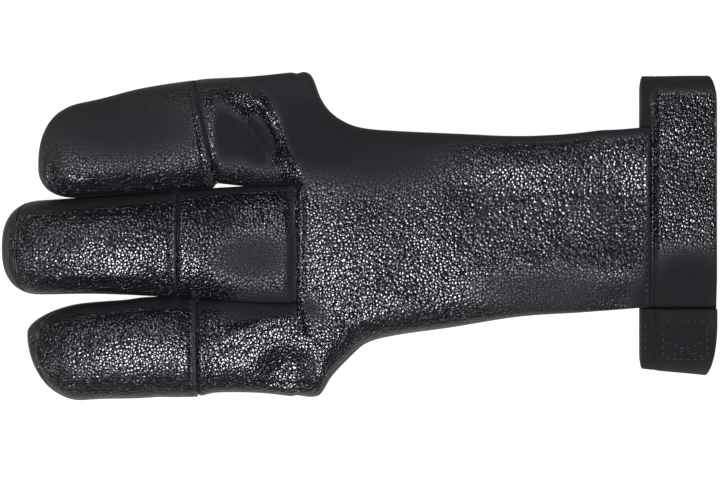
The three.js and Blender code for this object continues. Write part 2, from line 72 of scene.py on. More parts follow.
# Leather and seams
BODY_LEATHER = 1.3
CAP_LEATHER = 1.2
CLEARANCE = 0.3
CAP_LAP = 6
SEAM_HEIGHT = 6.2
SEAM_SLACK = 0.3
SEAM_FALL = 5
TOP_SQUARENESS = 2.3
BOTTOM_SQUARENESS = 3.2
BOTTOM_FLATTENING = 1.08
NOSE_SHARE = 0.8

# Hand and strap
PANEL_LENGTH = 109.4
KNUCKLE_HEIGHT = 13.6
INDEX_WAIST = 34.4
RING_WAIST = 23.2
KNUCKLE_LAP = 4
PALM_REACH = 3
EDGE_ROLL = 13
WEB_ROLL = 5
STRAP_WIDTH = 24.4
STRAP_LEATHER = 2.6
STRAP_INDEX_REACH = 53.6
STRAP_RING_REACH = 42.4
WRIST_GAP = 6
FLANGE_WIDTH = 3
FLANGE_LEATHER = 1.3
FLANGE_FREE = 2.2
FLANGE_FREE_REACH = 4
WELT_WIDTH = 1.5
WELT_HEIGHT = 2.3
GROOVE_WIDTH = 0.8
GROOVE_HEIGHT = 1.7
# How far the strap's finger-side and wrist-side edges draw in where it turns over, and from where
FINGER_CORNER = SimpleNamespace(index=1.2, index_reach=3.6, ring=1.2, ring_reach=3.2)
WRIST_CORNER = SimpleNamespace(index=3.2, index_reach=9, ring=4.4, ring_reach=18)
STRAP_SLANT = 2.6
PANEL_LAP_ON_STRAP = 2.7
TAB_STEP = 3.2
PATCH_LEATHER = 1.6


def table(columns, *rows):
    """A table of sections as a dict of columns."""
    return dict(zip(columns.split(), np.array(rows, float).T))


SECTION_COLUMNS = "at width height side"
INDEX_SECTIONS = table(
    SECTION_COLUMNS,
    (0, 0.83, 0.86, 0),
    (0.1, 0.848, 0.94, 0),
    (0.235, 0.89, 1, 0),
    (0.4, 0.96, 1, 0),
    (0.63, 1.002, 0.96, 0),
    (0.8, 1.003, 0.9, 0),
    (1, 1.03, 0.88, 0),
)
MIDDLE_SECTIONS = table(
    SECTION_COLUMNS,
    (0, 0.765, 0.86, -0.035),
    (0.12, 0.79, 0.95, -0.03),
    (0.33, 0.82, 1, -0.01),
    (0.595, 0.9, 0.9, 0),
    (0.8, 0.965, 0.78, 0),
    (1, 1, 0.77, 0),
)
RING_SECTIONS = table(
    SECTION_COLUMNS,
    (0, 1.065, 0.88, 0),
    (0.13, 1.068, 0.95, 0),
    (0.27, 1.078, 1, 0),
    (0.42, 1.095, 1, 0),
    (0.62, 1.068, 0.97, 0),
    (0.7, 1.005, 0.94, 0),
    (0.85, 0.983, 0.93, 0),
    (1, 1.01, 0.92, 0),
)
PANEL_SECTIONS = table(
    "at index ring crown edge",
    (0, 1, 1, 1, 0.46),
    (0.026, 1.02, 1.015, 1, 0.46),
    (0.046, 0.93, 1.02, 1, 0.46),
    (0.07, 0.6, 0.98, 1, 0.46),
    (0.1, 0.375, 0.77, 1, 0.45),
    (0.15, 0.2, 0.535, 0.99, 0.44),
    (0.2, 0.125, 0.345, 0.97, 0.43),
    (0.28, 0.088, 0.245, 0.95, 0.42),
    (0.45, 0.045, 0.138, 0.92, 0.42),
    (0.65, 0.003, 0, 0.9, 0.46),
    (0.85, 0.048, -0.06, 0.88, 0.56),
    (1, 0.12, -0.12, 0.86, 0.7),
)

# A finger's outer side is +Y, 1, or -Y, -1, and the middle one has none
index = SimpleNamespace(
    name="index", outer=1, length=82.6, width=34.4, height=15.4, cap_length=53.2, cap_tilt=0.2,
    rim=2.8, tip_length=14, tip_squareness=2.36, tip_shift=-3.5, sections=INDEX_SECTIONS,
)
middle = SimpleNamespace(
    name="middle", outer=0, length=94.2, width=38, height=15.4, cap_length=56, cap_tilt=0,
    rim=4.2, tip_length=13, tip_squareness=2.5, tip_shift=0, sections=MIDDLE_SECTIONS,
)
ring = SimpleNamespace(
    name="ring", outer=-1, length=86.1, width=29, height=14.6, cap_length=54.3, cap_tilt=0.02,
    rim=2.2, tip_length=18, tip_squareness=1.9, tip_shift=7.8, sections=RING_SECTIONS,
)

SLIT_GAP = 0.5
SLIT_FADE = 2
SLIT_CLOSED = 0.54
SLIT_CLOSED_FROM = {"index": -90, "ring": -56}
SLIT_OPENING = 1.5
SLIT_OPENING_START = -25.9
SLIT_OPENING_END = -17
# Small bulges fill the notches that the cap edges leave in the slits
NOTCH_FILL = 0.9
NOTCH_REACH = 1.1
MIDDLE_NOTCH_AT = -37.7
RING_NOTCH_AT = -31.2
RING_SPLAY = 0.1
RING_SPLAY_FROM = 44

# The two hollows over the finger bases, as in the solids
DENTS = [
    SimpleNamespace(on=index, along=-0.11, across=0.46, reach_along=0.11, reach_across=0.36, depth=0.2),
    SimpleNamespace(on=ring, along=-0.03, across=0.31, reach_along=0.14, reach_across=0.3, depth=0.13),
]


def mix(a, b, t):
    return a + (b - a) * t


def ease(x, start, end):
    t = np.clip((x - start) / (end - start), 0, 1)
    return t * t * (3 - 2 * t)


def bell(distance, reach):
    return np.exp(-((distance / reach) ** 2))


def power(value, exponent):
    return np.sign(value) * np.abs(value) ** exponent


def table_at(rows, column, at):
    """A smooth value from a table's column, through all its rows."""
    places = rows["at"]
    values = rows[column]
    at = np.clip(at, places[0], places[-1])
    i = np.clip(np.searchsorted(places, at, side="left") - 1, 0, len(places) - 2)
    last = len(places) - 1

    def slope(k):
        before = np.maximum(k - 1, 0)
        after = np.minimum(k + 1, last)
        return (values[after] - values[before]) / (places[after] - places[before])

    span = places[i + 1] - places[i]
    u = (at - places[i]) / span
    rise = values[i + 1] - values[i]
    start = slope(i) * span
    end = slope(i + 1) * span
    return values[i] + u * (start + u * (3 * rise - 2 * start - end + u * (start + end - 2 * rise)))


def rolled(distance, reach, squareness=TOP_SQUARENESS):
    """How far a rolled edge has risen, from 0 at the edge to 1 at the roll's reach."""
    left = 1 - np.clip(distance / reach, 0, 1)
    return (1 - left**squareness) ** (1 / squareness)


# The fingers' plan
def share_of_length(finger, x):
    return (x + finger.length) / finger.length


def width_of(finger, x):
    return finger.width * table_at(finger.sections, "width", share_of_length(finger, x))


def middle_axis(x):
    return middle.width * table_at(MIDDLE_SECTIONS, "side", share_of_length(middle, x))


def slit_to(finger, x):
    """The width of the slit between a finger and the middle finger."""
    splay = RING_SPLAY * np.maximum(0, -RING_SPLAY_FROM - x) if finger is ring else 0
    return (1 - ease(x, -SLIT_FADE, 0)) * (SLIT_GAP + splay)


def opening_at(x):
    """The small opening between the index and middle fingers, widest at its tip end."""
    left = np.clip((SLIT_OPENING_END - x) / (SLIT_OPENING_END - SLIT_OPENING_START), 0, 1)
    return SLIT_OPENING * left * ease(x, SLIT_OPENING_START - 0.8, SLIT_OPENING_START + 0.2)


def finger_edges(finger, x):
    """The finger's -Y and +Y sides in plan."""
    top = middle_axis(x) + width_of(middle, x) / 2
    bottom = middle_axis(x) - width_of(middle, x) / 2
    if finger is middle:
        return bottom - NOTCH_FILL * bell(x - RING_NOTCH_AT, NOTCH_REACH), top
    closed_from = SLIT_CLOSED_FROM[finger.name]
    bulge = SLIT_CLOSED * ease(x, closed_from, closed_from + 8) * (1 - ease(x, -SLIT_FADE, 0))
    by_middle_cap = NOTCH_FILL * bell(x - MIDDLE_NOTCH_AT, NOTCH_REACH)
    if finger is index:
        near = top + slit_to(index, x)
        return near - bulge - by_middle_cap + opening_at(x), near + width_of(index, x)
    near = bottom - slit_to(ring, x)
    return near - width_of(ring, x), near + bulge + by_middle_cap


def axis_of(finger, x):
    low, high = finger_edges(finger, x)
    return (low + high) / 2


KNUCKLE_UNDERSIDE = KNUCKLE_HEIGHT - BODY_LEATHER - CLEARANCE


def crown_of(finger, x):
    """The finger's height; the middle one goes down under the panel at the knuckle seam."""
    own = finger.height * table_at(finger.sections, "height", share_of_length(finger, x))
    if finger is not middle:
        return own
    return mix(own, KNUCKLE_UNDERSIDE, ease(x, -14, -2))


def tuck_of(finger, x, y=None):
    """How far a finger's leather lies inside its outside, where the cap laps over it."""
    lean = 0 if y is None else finger.cap_tilt * (y - axis_of(finger, x))
    edge = finger.cap_length - finger.length - lean
    under_cap = CAP_LEATHER + CLEARANCE
    return under_cap - CLEARANCE * ease(x, edge - 1, edge) - CAP_LEATHER * ease(x, edge, edge + 1)


def finger_point(finger, s, angle, inset=0):
    """A point on a finger's outside, s from its tip, at an angle round its section."""
    s, angle = np.broadcast_arrays(s, angle)
    x = s - finger.length
    left = 1 - np.clip(s / finger.tip_length, 0, 1)
    round_in = (1 - left**finger.tip_squareness) ** (1 / finger.tip_squareness)
    nose = 1 - np.clip(s / (finger.tip_length * NOSE_SHARE), 0, 1)
    nose_round = np.sqrt(1 - nose**2)
    low, high = finger_edges(finger, x)
    half = (high - low) / 2 * round_in - inset
    axis = (high + low) / 2 + finger.tip_shift * (1 - round_in)
    sine = np.sin(angle)
    squareness = np.where(sine >= 0, TOP_SQUARENESS, BOTTOM_SQUARENESS)
    y = axis + half * power(np.cos(angle), 2 / squareness)
    reach = np.abs(sine) ** (2 / squareness)
    rise = (crown_of(finger, x) - SEAM_HEIGHT) * nose_round - inset
    depth = SEAM_HEIGHT * nose_round - inset
    top = SEAM_HEIGHT + rise * reach
    bottom = SEAM_HEIGHT - depth * np.minimum(1, BOTTOM_FLATTENING * reach)
    return np.stack([x, y, np.where(sine >= 0, top, bottom)], axis=-1)


def side_at(finger, x, side):
    """A finger's -Y side, 0, or its +Y side, 1, at one place."""
    return float(finger_edges(finger, np.array([x]))[side][0])


# Where the glove's own frame lies in the shared frame
SHIFT = np.array([
    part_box("wrist_strap")[0][0] / MM - PANEL_LENGTH,
    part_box("middle_finger_piece")[1][1] / MM - side_at(middle, PALM_REACH, 1),
    0.0,
])


# Folds and swells of the lying leather, in millimetres of the shared frame. A fold is its height,
# its reach to each side and its path; a swell is its height, its middle and its reach in x and y.
FOLDS = [
    # the index base's arched fold, and the small ones inside it
    (1.2, 2.1, [(-42, 45.6), (-35.2, 45), (-30.7, 41.4), (-27.5, 36.3), (-25.3, 29.9), (-23.4, 23.5),
                (-21.4, 17.8)]),
    (-0.7, 2.4, [(-37, 40.4), (-33.4, 37.6), (-30.6, 32.6), (-28.6, 26.6)]),
    (0.4, 1.2, [(-34.6, 35), (-31.4, 29.6), (-27.2, 23.2)]),
    # the ring base's rising fold, and the panel's fold past the knuckle seam's corner
    (0.7, 2.6, [(-47, -35.4), (-40, -31.4), (-31.4, -28.2), (-24, -26.4), (-18.5, -26.8)]),
    (0.5, 1.2, [(-19.3, -20.4), (-18.8, -26), (-17.8, -33)]),
    (-0.35, 0.9, [(-36, -46.4), (-24, -47.4), (-12.6, -47)]),
    # long soft creases in the back panel
    (-0.1, 1.2, [(42, 12.4), (64, 13.7), (88, 13)]),
    (-0.3, 2.2, [(-10, 30), (-2, 24), (8, 22)]),
    (-0.25, 2.4, [(-6, -30), (2, -24), (12, -20)]),
    # creases on the caps
    (0.35, 0.8, [(-104, -31.2), (-99.4, -28.6), (-94.6, -27.2)]),
    (0.35, 0.8, [(-103.4, -36.4), (-101, -41), (-97.4, -45)]),
    (0.3, 1.6, [(-102.4, -13.6), (-83.2, -12.9), (-66, -13.2)]),
    (0.35, 1.0, [(-99.6, 21.8), (-94.6, 18.2), (-84, 16.4)]),
]
SWELLS = [
    (1.3, (72, 27), (30, 9)),
    (0.9, (76, -12), (24, 8)),
    (0.8, (6, 2), (26, 16)),
    (0.4, (-86, 30), (16, 12)),
    (0.3, (-84, -4), (20, 10)),
    (0.3, (-80, -38), (18, 10)),
]
UNDER_FOLDS = [
    (-0.3, 1.2, [(-58, -14), (-57, -2), (-58, 10)]),
    (-0.35, 1.4, [(-38, 24), (-37, 34), (-39, 46)]),
    (-0.35, 1.4, [(-40, -12), (-38, -2), (-39, 9)]),
    (-0.35, 1.4, [(-40, -45), (-38, -36), (-39, -27)]),
    (-0.3, 1.3, [(-84, 20), (-82, 30), (-84, 40)]),
    (-0.3, 1.3, [(-86, -14), (-84, -3), (-86, 8)]),
    (-0.3, 1.3, [(-82, -46), (-80, -36), (-82, -27)]),
]
FOLD_FADE = 0.18
UNDER_SINK = 0.15
# How far up or down the leather faces where relief begins, and where it is whole
FACING = (0.1, 0.75)

# Where the leather is polished or dull, in the shared frame: soft patches, each its change of
# polish, its middle and its reach in x and y
USUAL_POLISH = 0.75
PATCH_SHARPNESS = 1.5
POLISH = [
    (0.35, (-96, -7), (13, 14)),
    (0.3, (-78, -12), (22, 7)),
    (0.1, (-66, 5), (12, 8)),
    (0.25, (-36, -37), (12, 9)),
    (0.35, (10, -14), (18, 13)),
    (0.35, (74, 18), (26, 13)),
    (0.45, (105, 22), (13, 26)),
    (-0.45, (-33, -7), (15, 9)),
    (0.2, (-30, 9), (12, 5)),
    (-0.9, (104, 50), (17, 5.5)),
    (-0.6, (-76, 35), (32, 14)),
    (-0.6, (-24, 38), (20, 20)),
    (-0.6, (6, 28), (27, 15)),
    (-0.8, (105, -15), (15, 14)),
    (-0.75, (104, -36), (15, 10)),
    (-0.8, (-28, -24), (16, 6)),
    (-0.38, (60, -18), (26, 9)),
    (-0.7, (90, -34), (6, 16)),
    (0.6, (-36, 41.4), (6, 4.6)),
    (-0.4, (-33, 28), (6, 6)),
    (-0.5, (-42, 31), (4.6, 9)),
]
# Lines that shine or lie dull, in the shared frame, as a change of polish, a reach and a path
LINES = [
    # the caps' edges and their stitches
    (-0.45, 0.9, [(-52.6, -47), (-52.6, -18)]),
    (0.3, 1.3, [(-55.2, -40), (-55, -22)]),
    (-0.35, 0.8, [(-58.6, -17), (-58.6, 14)]),
    (0.25, 1.0, [(-60.4, -16), (-60.4, 10)]),
    (-0.4, 0.9, [(-46.6, 16), (-53, 49)]),
    (0.7, 1.0, [(-51.8, 38), (-48.6, 21)]),
    (0.45, 1.1, [(-47.6, 43), (-46, 21)]),
    # the knuckle seam
    (-0.6, 1.1, [(-21.4, -20), (-21.4, 17)]),
    (0.4, 1.0, [(-18.6, -24), (-18.8, 0), (-19.2, 22)]),
    # the strap's seam and the panel's index edge
    (-0.8, 0.8, [(92, -23), (92, 40)]),
    (0.4, 0.7, [(93.4, 2), (93.4, 34)]),
    (-0.8, 2.2, [(91, 37), (91, 52)]),
    (-0.8, 2.8, [(0, 34.5), (30, 32.8), (60, 32.2), (92, 34)]),
]

# Slight waves all over, each as its turn, phase, length and height; two of each length
WAVE_SIZES = ((31, 0.06), (23, 0.04), (15, 0.02), (11, 0.012), (8, 0.008), (6, 0.005))
rng = np.random.default_rng(11)
WAVES = [
    (rng.uniform(0, 2 * math.pi), rng.uniform(0, 2 * math.pi), length, height)
    for length, height in WAVE_SIZES
    for _ in range(2)
]


def patches_at(patches, x, y, start=0.0, sharpness=1):
    """The sum of soft patches, each its amount in its middle and next to nothing past its reach."""
    total = np.full(x.shape, start)
    for amount, centre, reach in patches:
        u = (x - centre[0]) / reach[0]
        v = (y - centre[1]) / reach[1]
        total += amount * np.exp(-((u * u + v * v) ** sharpness))
    return total


def polish_at(points):
    """Polish from 0, dull, to 1, glossy."""
    x, y = points[:, 0], points[:, 1]
    total = patches_at(POLISH, x, y, USUAL_POLISH, PATCH_SHARPNESS)
    raised = [fold for fold in FOLDS if fold[0] > 0]
    for amount, reach, path in LINES + raised:
        total += amount * bell(path_distance(path, x, y)[0], reach)
    return np.clip(total, 0, 1)


def path_distance(path, x, y):
    """Distance from a polyline in plan, and the share of its length at the nearest point."""
    path = np.array(path, float)
    lengths = np.hypot(*(path[1:] - path[:-1]).T)
    starts = np.concatenate([[0], np.cumsum(lengths)])
    best = np.full(x.shape, np.inf)
    along = np.zeros(x.shape)
    for i, (a, b) in enumerate(zip(path[:-1], path[1:])):
        d = b - a
        t = np.clip(((x - a[0]) * d[0] + (y - a[1]) * d[1]) / (d @ d), 0, 1)
        distance = np.hypot(x - a[0] - t * d[0], y - a[1] - t * d[1])
        nearer = distance < best
        best = np.where(nearer, distance, best)
        along = np.where(nearer, (starts[i] + t * lengths[i]) / starts[-1], along)
    return best, along


def folds_at(folds, x, y):
    total = np.zeros(x.shape)
    for height, reach, path in folds:
        distance, along = path_distance(path, x, y)
        fade = ease(along, 0, FOLD_FADE) * (1 - ease(along, 1 - FOLD_FADE, 1))
        total += height * fade * bell(distance, reach)
    return total


def relief(points, normals):
    """How far the lying leather stands out of its plain form."""
    x, y = points[:, 0], points[:, 1]
    up = normals[:, 2]
    waves = sum(h * np.sin(2 * math.pi * (x * math.cos(turn) + y * math.sin(turn)) / length + phase)
                for turn, phase, length, h in WAVES)
    above = folds_at(FOLDS, x, y) + patches_at(SWELLS, x, y) + waves
    below = folds_at(UNDER_FOLDS, x, y) - UNDER_SINK
    return ease(up, *FACING) * above + ease(-up, *FACING) * below


# Meshes
def unit(vectors):
    return vectors / np.maximum(np.linalg.norm(vectors, axis=1, keepdims=True), 1e-12)


def onward(start, end, count):
    """Even stops past a start, with the end as the last."""
    return np.linspace(start, end, count)[1:]


def nearest(rows, place):
    return int(np.argmin(np.abs(rows - place)))


def run_along(points):
    """The distance run along a line of points."""
    return np.concatenate([[0], np.cumsum(np.linalg.norm(points[1:] - points[:-1], axis=1))])


def vertex_normals(points, faces):
    a, b, c = points[faces[:, 0]], points[faces[:, 1]], points[faces[:, 2]]
    normal = np.cross(b - a, c - a)
    total = np.zeros_like(points)
    for k in range(3):
        np.add.at(total, faces[:, k], normal)
    return unit(total)


def grid_faces(ids):
    a, b, c, d = ids[:-1, :-1], ids[:-1, 1:], ids[1:, 1:], ids[1:, :-1]
    faces = np.concatenate([np.stack([a, c, d], -1).reshape(-1, 3), np.stack([a, b, c], -1).reshape(-1, 3)])
    good = (faces[:, 0] != faces[:, 1]) & (faces[:, 1] != faces[:, 2]) & (faces[:, 0] != faces[:, 2])
    return faces[good]


def looped_faces(ids):
    """The faces of a grid whose last column joins its first, seen from outside."""
    return grid_faces(np.concatenate([ids, ids[:, :1]], axis=1))[:, ::-1]


def edges_of(faces):
    return np.concatenate([faces[:, [0, 1]], faces[:, [1, 2]], faces[:, [2, 0]]])


def open_edges(faces, count):
    """The directed edges that only one face has."""
    edges = edges_of(faces)
    forward = edges[:, 0] * count + edges[:, 1]
    backward = edges[:, 1] * count + edges[:, 0]
    return edges[~np.isin(forward, backward)]


def standing_out(points, normals, faces):
    """How far each point stands out of its neighbours, against their distance squared."""
    links = edges_of(faces)
    near, far = links[:, 0], links[:, 1]
    count = np.zeros(len(points))
    mean = np.zeros_like(points)
    span = np.zeros(len(points))
    np.add.at(count, near, 1)
    np.add.at(mean, near, points[far])
    np.add.at(span, near, np.linalg.norm(points[far] - points[near], axis=1))
    count = np.maximum(count, 1)
    height = np.sum((points - mean / count[:, None]) * normals, axis=1)
    return height / np.maximum(span / count, 1e-6) ** 2


def make_piece(name, points, faces, slot, material, replaces=(), **attributes):
    """A smooth mesh object in metres that rides on the glove."""
    mesh = bpy.data.meshes.new(name)
    mesh.from_pydata((points * MM).tolist(), [], faces.tolist())
    mesh.polygons.foreach_set("use_smooth", np.ones(len(mesh.polygons), bool))
    for key, values in attributes.items():
        layer = mesh.attributes.new(key, "FLOAT", "POINT")
        layer.data.foreach_set("value", np.asarray(values, np.float32))
    mesh.update()
    mesh.materials.append(material)
    piece = bpy.data.objects.new(name, mesh)
    bpy.context.scene.collection.objects.link(piece)
    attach(piece, "root")
    if replaces:
        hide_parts(*replaces)


# Sheets: rings of points round an edge at these shares of the wall, and how far they swell out
EDGE_STEPS = (0.22, 0.5, 0.78)
EDGE_BULGE = 0.3
SEAM_BULGE = 0.08
SEAM_REACH = 1.5
WELDS_PER_MM = 5000
# Wear shows on what stands out and on edges; an edge's rings are partly suede
WEAR_OF_BENDS = 0.9
WEAR_OF_RIM = 0.8
WEAR_OF_EDGE = 0.7
EDGE_SUEDE = 0.35
# How level the leather must lie to show its pebbles, none to all, as the height of its normal;
# leather that leans to the ring side keeps them longer
STEEP_TO_LEVEL = (0.55, 0.85)
LEAN = 0.3


def level_of(normals):
    return ease(np.abs(normals[..., 2]) - LEAN * normals[..., 1], *STEEP_TO_LEVEL)


def welded(grids):
    """The grids' points with shared ones as one, which they were, and each grid's point numbers."""
    stacked = np.concatenate([grid.reshape(-1, 3) for grid in grids]) + SHIFT
    keys = np.round(stacked * WELDS_PER_MM).astype(np.int64)
    _, first, ids = np.unique(keys, axis=0, return_index=True, return_inverse=True)
    parts = np.split(ids.reshape(-1), np.cumsum([grid[..., 0].size for grid in grids])[:-1])
    return stacked[first], first, [part.reshape(grid.shape[:2]) for part, grid in zip(parts, grids)]


def rounded_edge(points, normals, faces, wall, seam_all_round):
    """A sheet's edge: its points' numbers, the rings of points round it, and the rings' faces.

    The rings' points follow the sheet's outer and inner ones."""
    count = len(points)
    edges = open_edges(faces, count)
    outward = np.zeros_like(points)
    along = points[edges[:, 1]] - points[edges[:, 0]]
    for k in range(2):
        np.add.at(outward, edges[:, k], np.cross(along, normals[edges[:, k]]))
    outward = unit(outward)
    rim = np.unique(edges)
    near_seam = np.abs(points[rim, 2] - SEAM_HEIGHT) < SEAM_REACH
    spread = np.where(near_seam | seam_all_round, SEAM_BULGE, EDGE_BULGE)[:, None]
    rings = [points[rim] - normals[rim] * wall * t + outward[rim] * spread * math.sin(math.pi * t)
             for t in EDGE_STEPS]
    place = np.full(count, -1)
    place[rim] = np.arange(len(rim))
    chain = [edges, *(place[edges] + 2 * count + len(rim) * k for k in range(len(rings))), edges + count]
    skirt = []
    for outer, lower in zip(chain[:-1], chain[1:]):
        skirt.append(np.stack([outer[:, 1], outer[:, 0], lower[:, 0]], -1))
        skirt.append(np.stack([outer[:, 1], lower[:, 0], lower[:, 1]], -1))
    return rim, rings, skirt


def sheet(name, grids, wall, slot, material, beyond=()):
    """A closed leather sheet from grids of (outside points, rise), with rounded edges.

    beyond holds strips past its edges, which only say how the surface would go on there.
    Returns, for each grid, its finished outside points and normals.
    """
    points, first, ids = welded([g for g, _ in grids] + list(beyond))
    rises = [np.broadcast_to(r, g.shape[:2]).reshape(-1) for g, r in grids]
    rises += [np.zeros(g[..., 0].size) for g in beyond]
    rise = np.concatenate(rises)[first]
    faces = np.concatenate([grid_faces(i) for i in ids[:len(grids)]])
    every = np.concatenate([grid_faces(i) for i in ids])
    at_seam = (np.abs(points[:, 2] - SEAM_HEIGHT) < SEAM_SLACK) & (not beyond)

    def levelled(normals):
        normals = normals.copy()
        normals[at_seam, 2] = 0
        return unit(normals)

    plain = levelled(vertex_normals(points, every))
    points = points + plain * (relief(points, plain) + rise)[:, None]
    normals = levelled(vertex_normals(points, every))
    # at a seam's sharp end the faces are too small to tell their own direction
    unsure = np.sum(plain * normals, axis=1) < 0.5
    normals[unsure] = plain[unsure]

    count = len(points)
    rim, rings, skirt = rounded_edge(points, normals, faces, wall, bool(beyond))
    verts = np.concatenate([points, points - normals * wall, *rings])
    all_faces = np.concatenate([faces, faces[:, ::-1] + count, *skirt])
    inside = np.concatenate([np.zeros(count), np.ones(count), np.full(len(rim) * len(rings), EDGE_SUEDE)])
    level = np.concatenate([level_of(normals), np.ones(len(verts) - count)])
    wear = np.zeros(len(verts))
    wear[:count] = np.clip(standing_out(points, normals, faces) * WEAR_OF_BENDS, 0, 1)
    wear[rim] = WEAR_OF_RIM
    wear[2 * count:] = WEAR_OF_EDGE
    used = np.zeros(len(verts), bool)
    used[all_faces] = True
    renumber = np.cumsum(used) - 1
    make_piece(name, verts[used], renumber[all_faces], slot, material, [name],
               polish=polish_at(verts[used]), inside=inside[used], wear=wear[used], level=level[used])
    return [(points[i], normals[i]) for i in ids[:len(grids)]]


# Stitches: six-sided threads that are thin at their ends, where they go under
STITCH_SIDES = 6
STITCH_RINGS = 6
THIN_END = 0.45
SUNK_END = 0.12


def stitch_row(name, points, normals, slot, material, pitch=2.7, length=2.0, radius=0.26, lift=0.1):
    """Thread stitches along a line on the leather, as one joined mesh."""
    along = run_along(points)
    count = max(1, int(along[-1] // pitch))
    start = (along[-1] - count * pitch) / 2 + pitch / 2
    shares = np.linspace(0, 1, STITCH_RINGS)
    arch = np.sin(np.pi * shares)
    verts, faces = [], []
    for k in range(count):
        at = start + k * pitch + (shares - 0.5) * length
        line = np.stack([np.interp(at, along, points[:, j]) for j in range(3)], -1)
        out = unit(np.stack([np.interp(at, along, normals[:, j]) for j in range(3)], -1))
        tangent = line[-1] - line[0]
        tangent /= np.linalg.norm(tangent)
        side = np.cross(out, tangent)
        base = len(verts)
        for r in range(STITCH_RINGS):
            thick = radius * mix(THIN_END, 1, arch[r])
            centre = line[r] + out[r] * (lift * arch[r] * 2 - SUNK_END)
            for q in range(STITCH_SIDES):
                turn = 2 * math.pi * q / STITCH_SIDES
                verts.append(centre + thick * (math.cos(turn) * side[r] + math.sin(turn) * out[r]))
        for r in range(STITCH_RINGS - 1):
            for q in range(STITCH_SIDES):
                a = base + r * STITCH_SIDES + q
                b = base + r * STITCH_SIDES + (q + 1) % STITCH_SIDES
                faces.append((a, b, b + STITCH_SIDES))
                faces.append((a, b + STITCH_SIDES, a + STITCH_SIDES))
        end = base + (STITCH_RINGS - 1) * STITCH_SIDES
        for q in range(1, STITCH_SIDES - 1):
            faces.append((base, base + q + 1, base + q))
            faces.append((end, end + q, end + q + 1))
    make_piece(name, np.array(verts), np.array(faces), slot, material)


# Materials
def new_material(name):
    material = bpy.data.materials.new(name)
    material.use_nodes = True
    tree = material.node_tree
    return material, tree, tree.nodes["Principled BSDF"]


def link(tree, source, target):
    tree.links.new(source, target)


def add(tree, kind, **settings):
    node = tree.nodes.new(kind)
    for key, value in settings.items():
        setattr(node, key, value)
    return node


def object_place(tree):
    return add(tree, "ShaderNodeTexCoord").outputs["Object"]


def attribute(tree, name):
    return add(tree, "ShaderNodeAttribute", attribute_name=name).outputs["Fac"]


def noise_node(tree, place, scale, detail):
    node = add(tree, "ShaderNodeTexNoise", noise_dimensions="3D")
    node.inputs["Scale"].default_value = scale
    node.inputs["Detail"].default_value = detail
    link(tree, place, node.inputs["Vector"])
    return node.outputs


def cells_node(tree, place, scale, feature, randomness=1.0):
    node = add(tree, "ShaderNodeTexVoronoi", feature=feature)
    node.inputs["Scale"].default_value = scale
    node.inputs["Randomness"].default_value = randomness
    link(tree, place, node.inputs["Vector"])
    return node.outputs["Distance"]


def math_node(tree, operation, *values):
    node = add(tree, "ShaderNodeMath", operation=operation)
    for socket, value in zip(node.inputs, values):
        if isinstance(value, (int, float)):
            socket.default_value = value
        else:
            link(tree, value, socket)
    return node.outputs[0]


def range_node(tree, value, low, high, to_low, to_high):
    node = add(tree, "ShaderNodeMapRange", interpolation_type="SMOOTHSTEP")
    link(tree, value, node.inputs["Value"])
    for key, number in (("From Min", low), ("From Max", high), ("To Min", to_low), ("To Max", to_high)):
        node.inputs[key].default_value = number
    return node.outputs["Result"]


def colour_mix(tree, factor, first, second):
    node = add(tree, "ShaderNodeMix", data_type="RGBA")
    link(tree, factor, node.inputs["Factor"])
    for socket, value in ((node.inputs[6], first), (node.inputs[7], second)):
        if isinstance(value, tuple):
            socket.default_value = (*value, 1)
        else:
            link(tree, value, socket)
    return node.outputs[2]


def bump(tree, shader, height, distance):
    node = add(tree, "ShaderNodeBump")
    node.inputs["Distance"].default_value = distance * MM
    link(tree, height, node.inputs["Height"])
    link(tree, node.outputs[0], shader.inputs["Normal"])


LEATHER_SPECULAR = 0.4
SUEDE = (0.022, 0.02, 0.022)
SUEDE_ROUGHNESS = 0.92
PEBBLE_RANDOMNESS = 0.9
PEBBLE_WOBBLE = (1.1, 1.1, 1.1)
CREASE_WIDTH = 0.16
DOME_SHARE = 0.45
FINE_SHARE = 0.025
MOST_SHINE = 0.81


def pebbles(tree, place):
    """Domed cells of uneven outline with creases between them, as a height from 0 to 1."""
    offset = add(tree, "ShaderNodeVectorMath", operation="MULTIPLY_ADD")
    link(tree, noise_node(tree, place, 0.7, 2)["Color"], offset.inputs[0])
    offset.inputs[1].default_value = PEBBLE_WOBBLE
    link(tree, place, offset.inputs[2])
    from_middle = cells_node(tree, offset.outputs[0], 1, "F1", PEBBLE_RANDOMNESS)
    from_edge = cells_node(tree, offset.outputs[0], 1, "DISTANCE_TO_EDGE", PEBBLE_RANDOMNESS)
    bowl = math_node(tree, "MULTIPLY", from_middle, from_middle)
    dome = math_node(tree, "MULTIPLY_ADD", bowl, -1.5, 1.0)
    crease = range_node(tree, from_edge, 0.0, CREASE_WIDTH, 0, 1)
    creased = math_node(tree, "MULTIPLY", crease, 1 - DOME_SHARE)
    return math_node(tree, "MULTIPLY_ADD", dome, DOME_SHARE, creased)


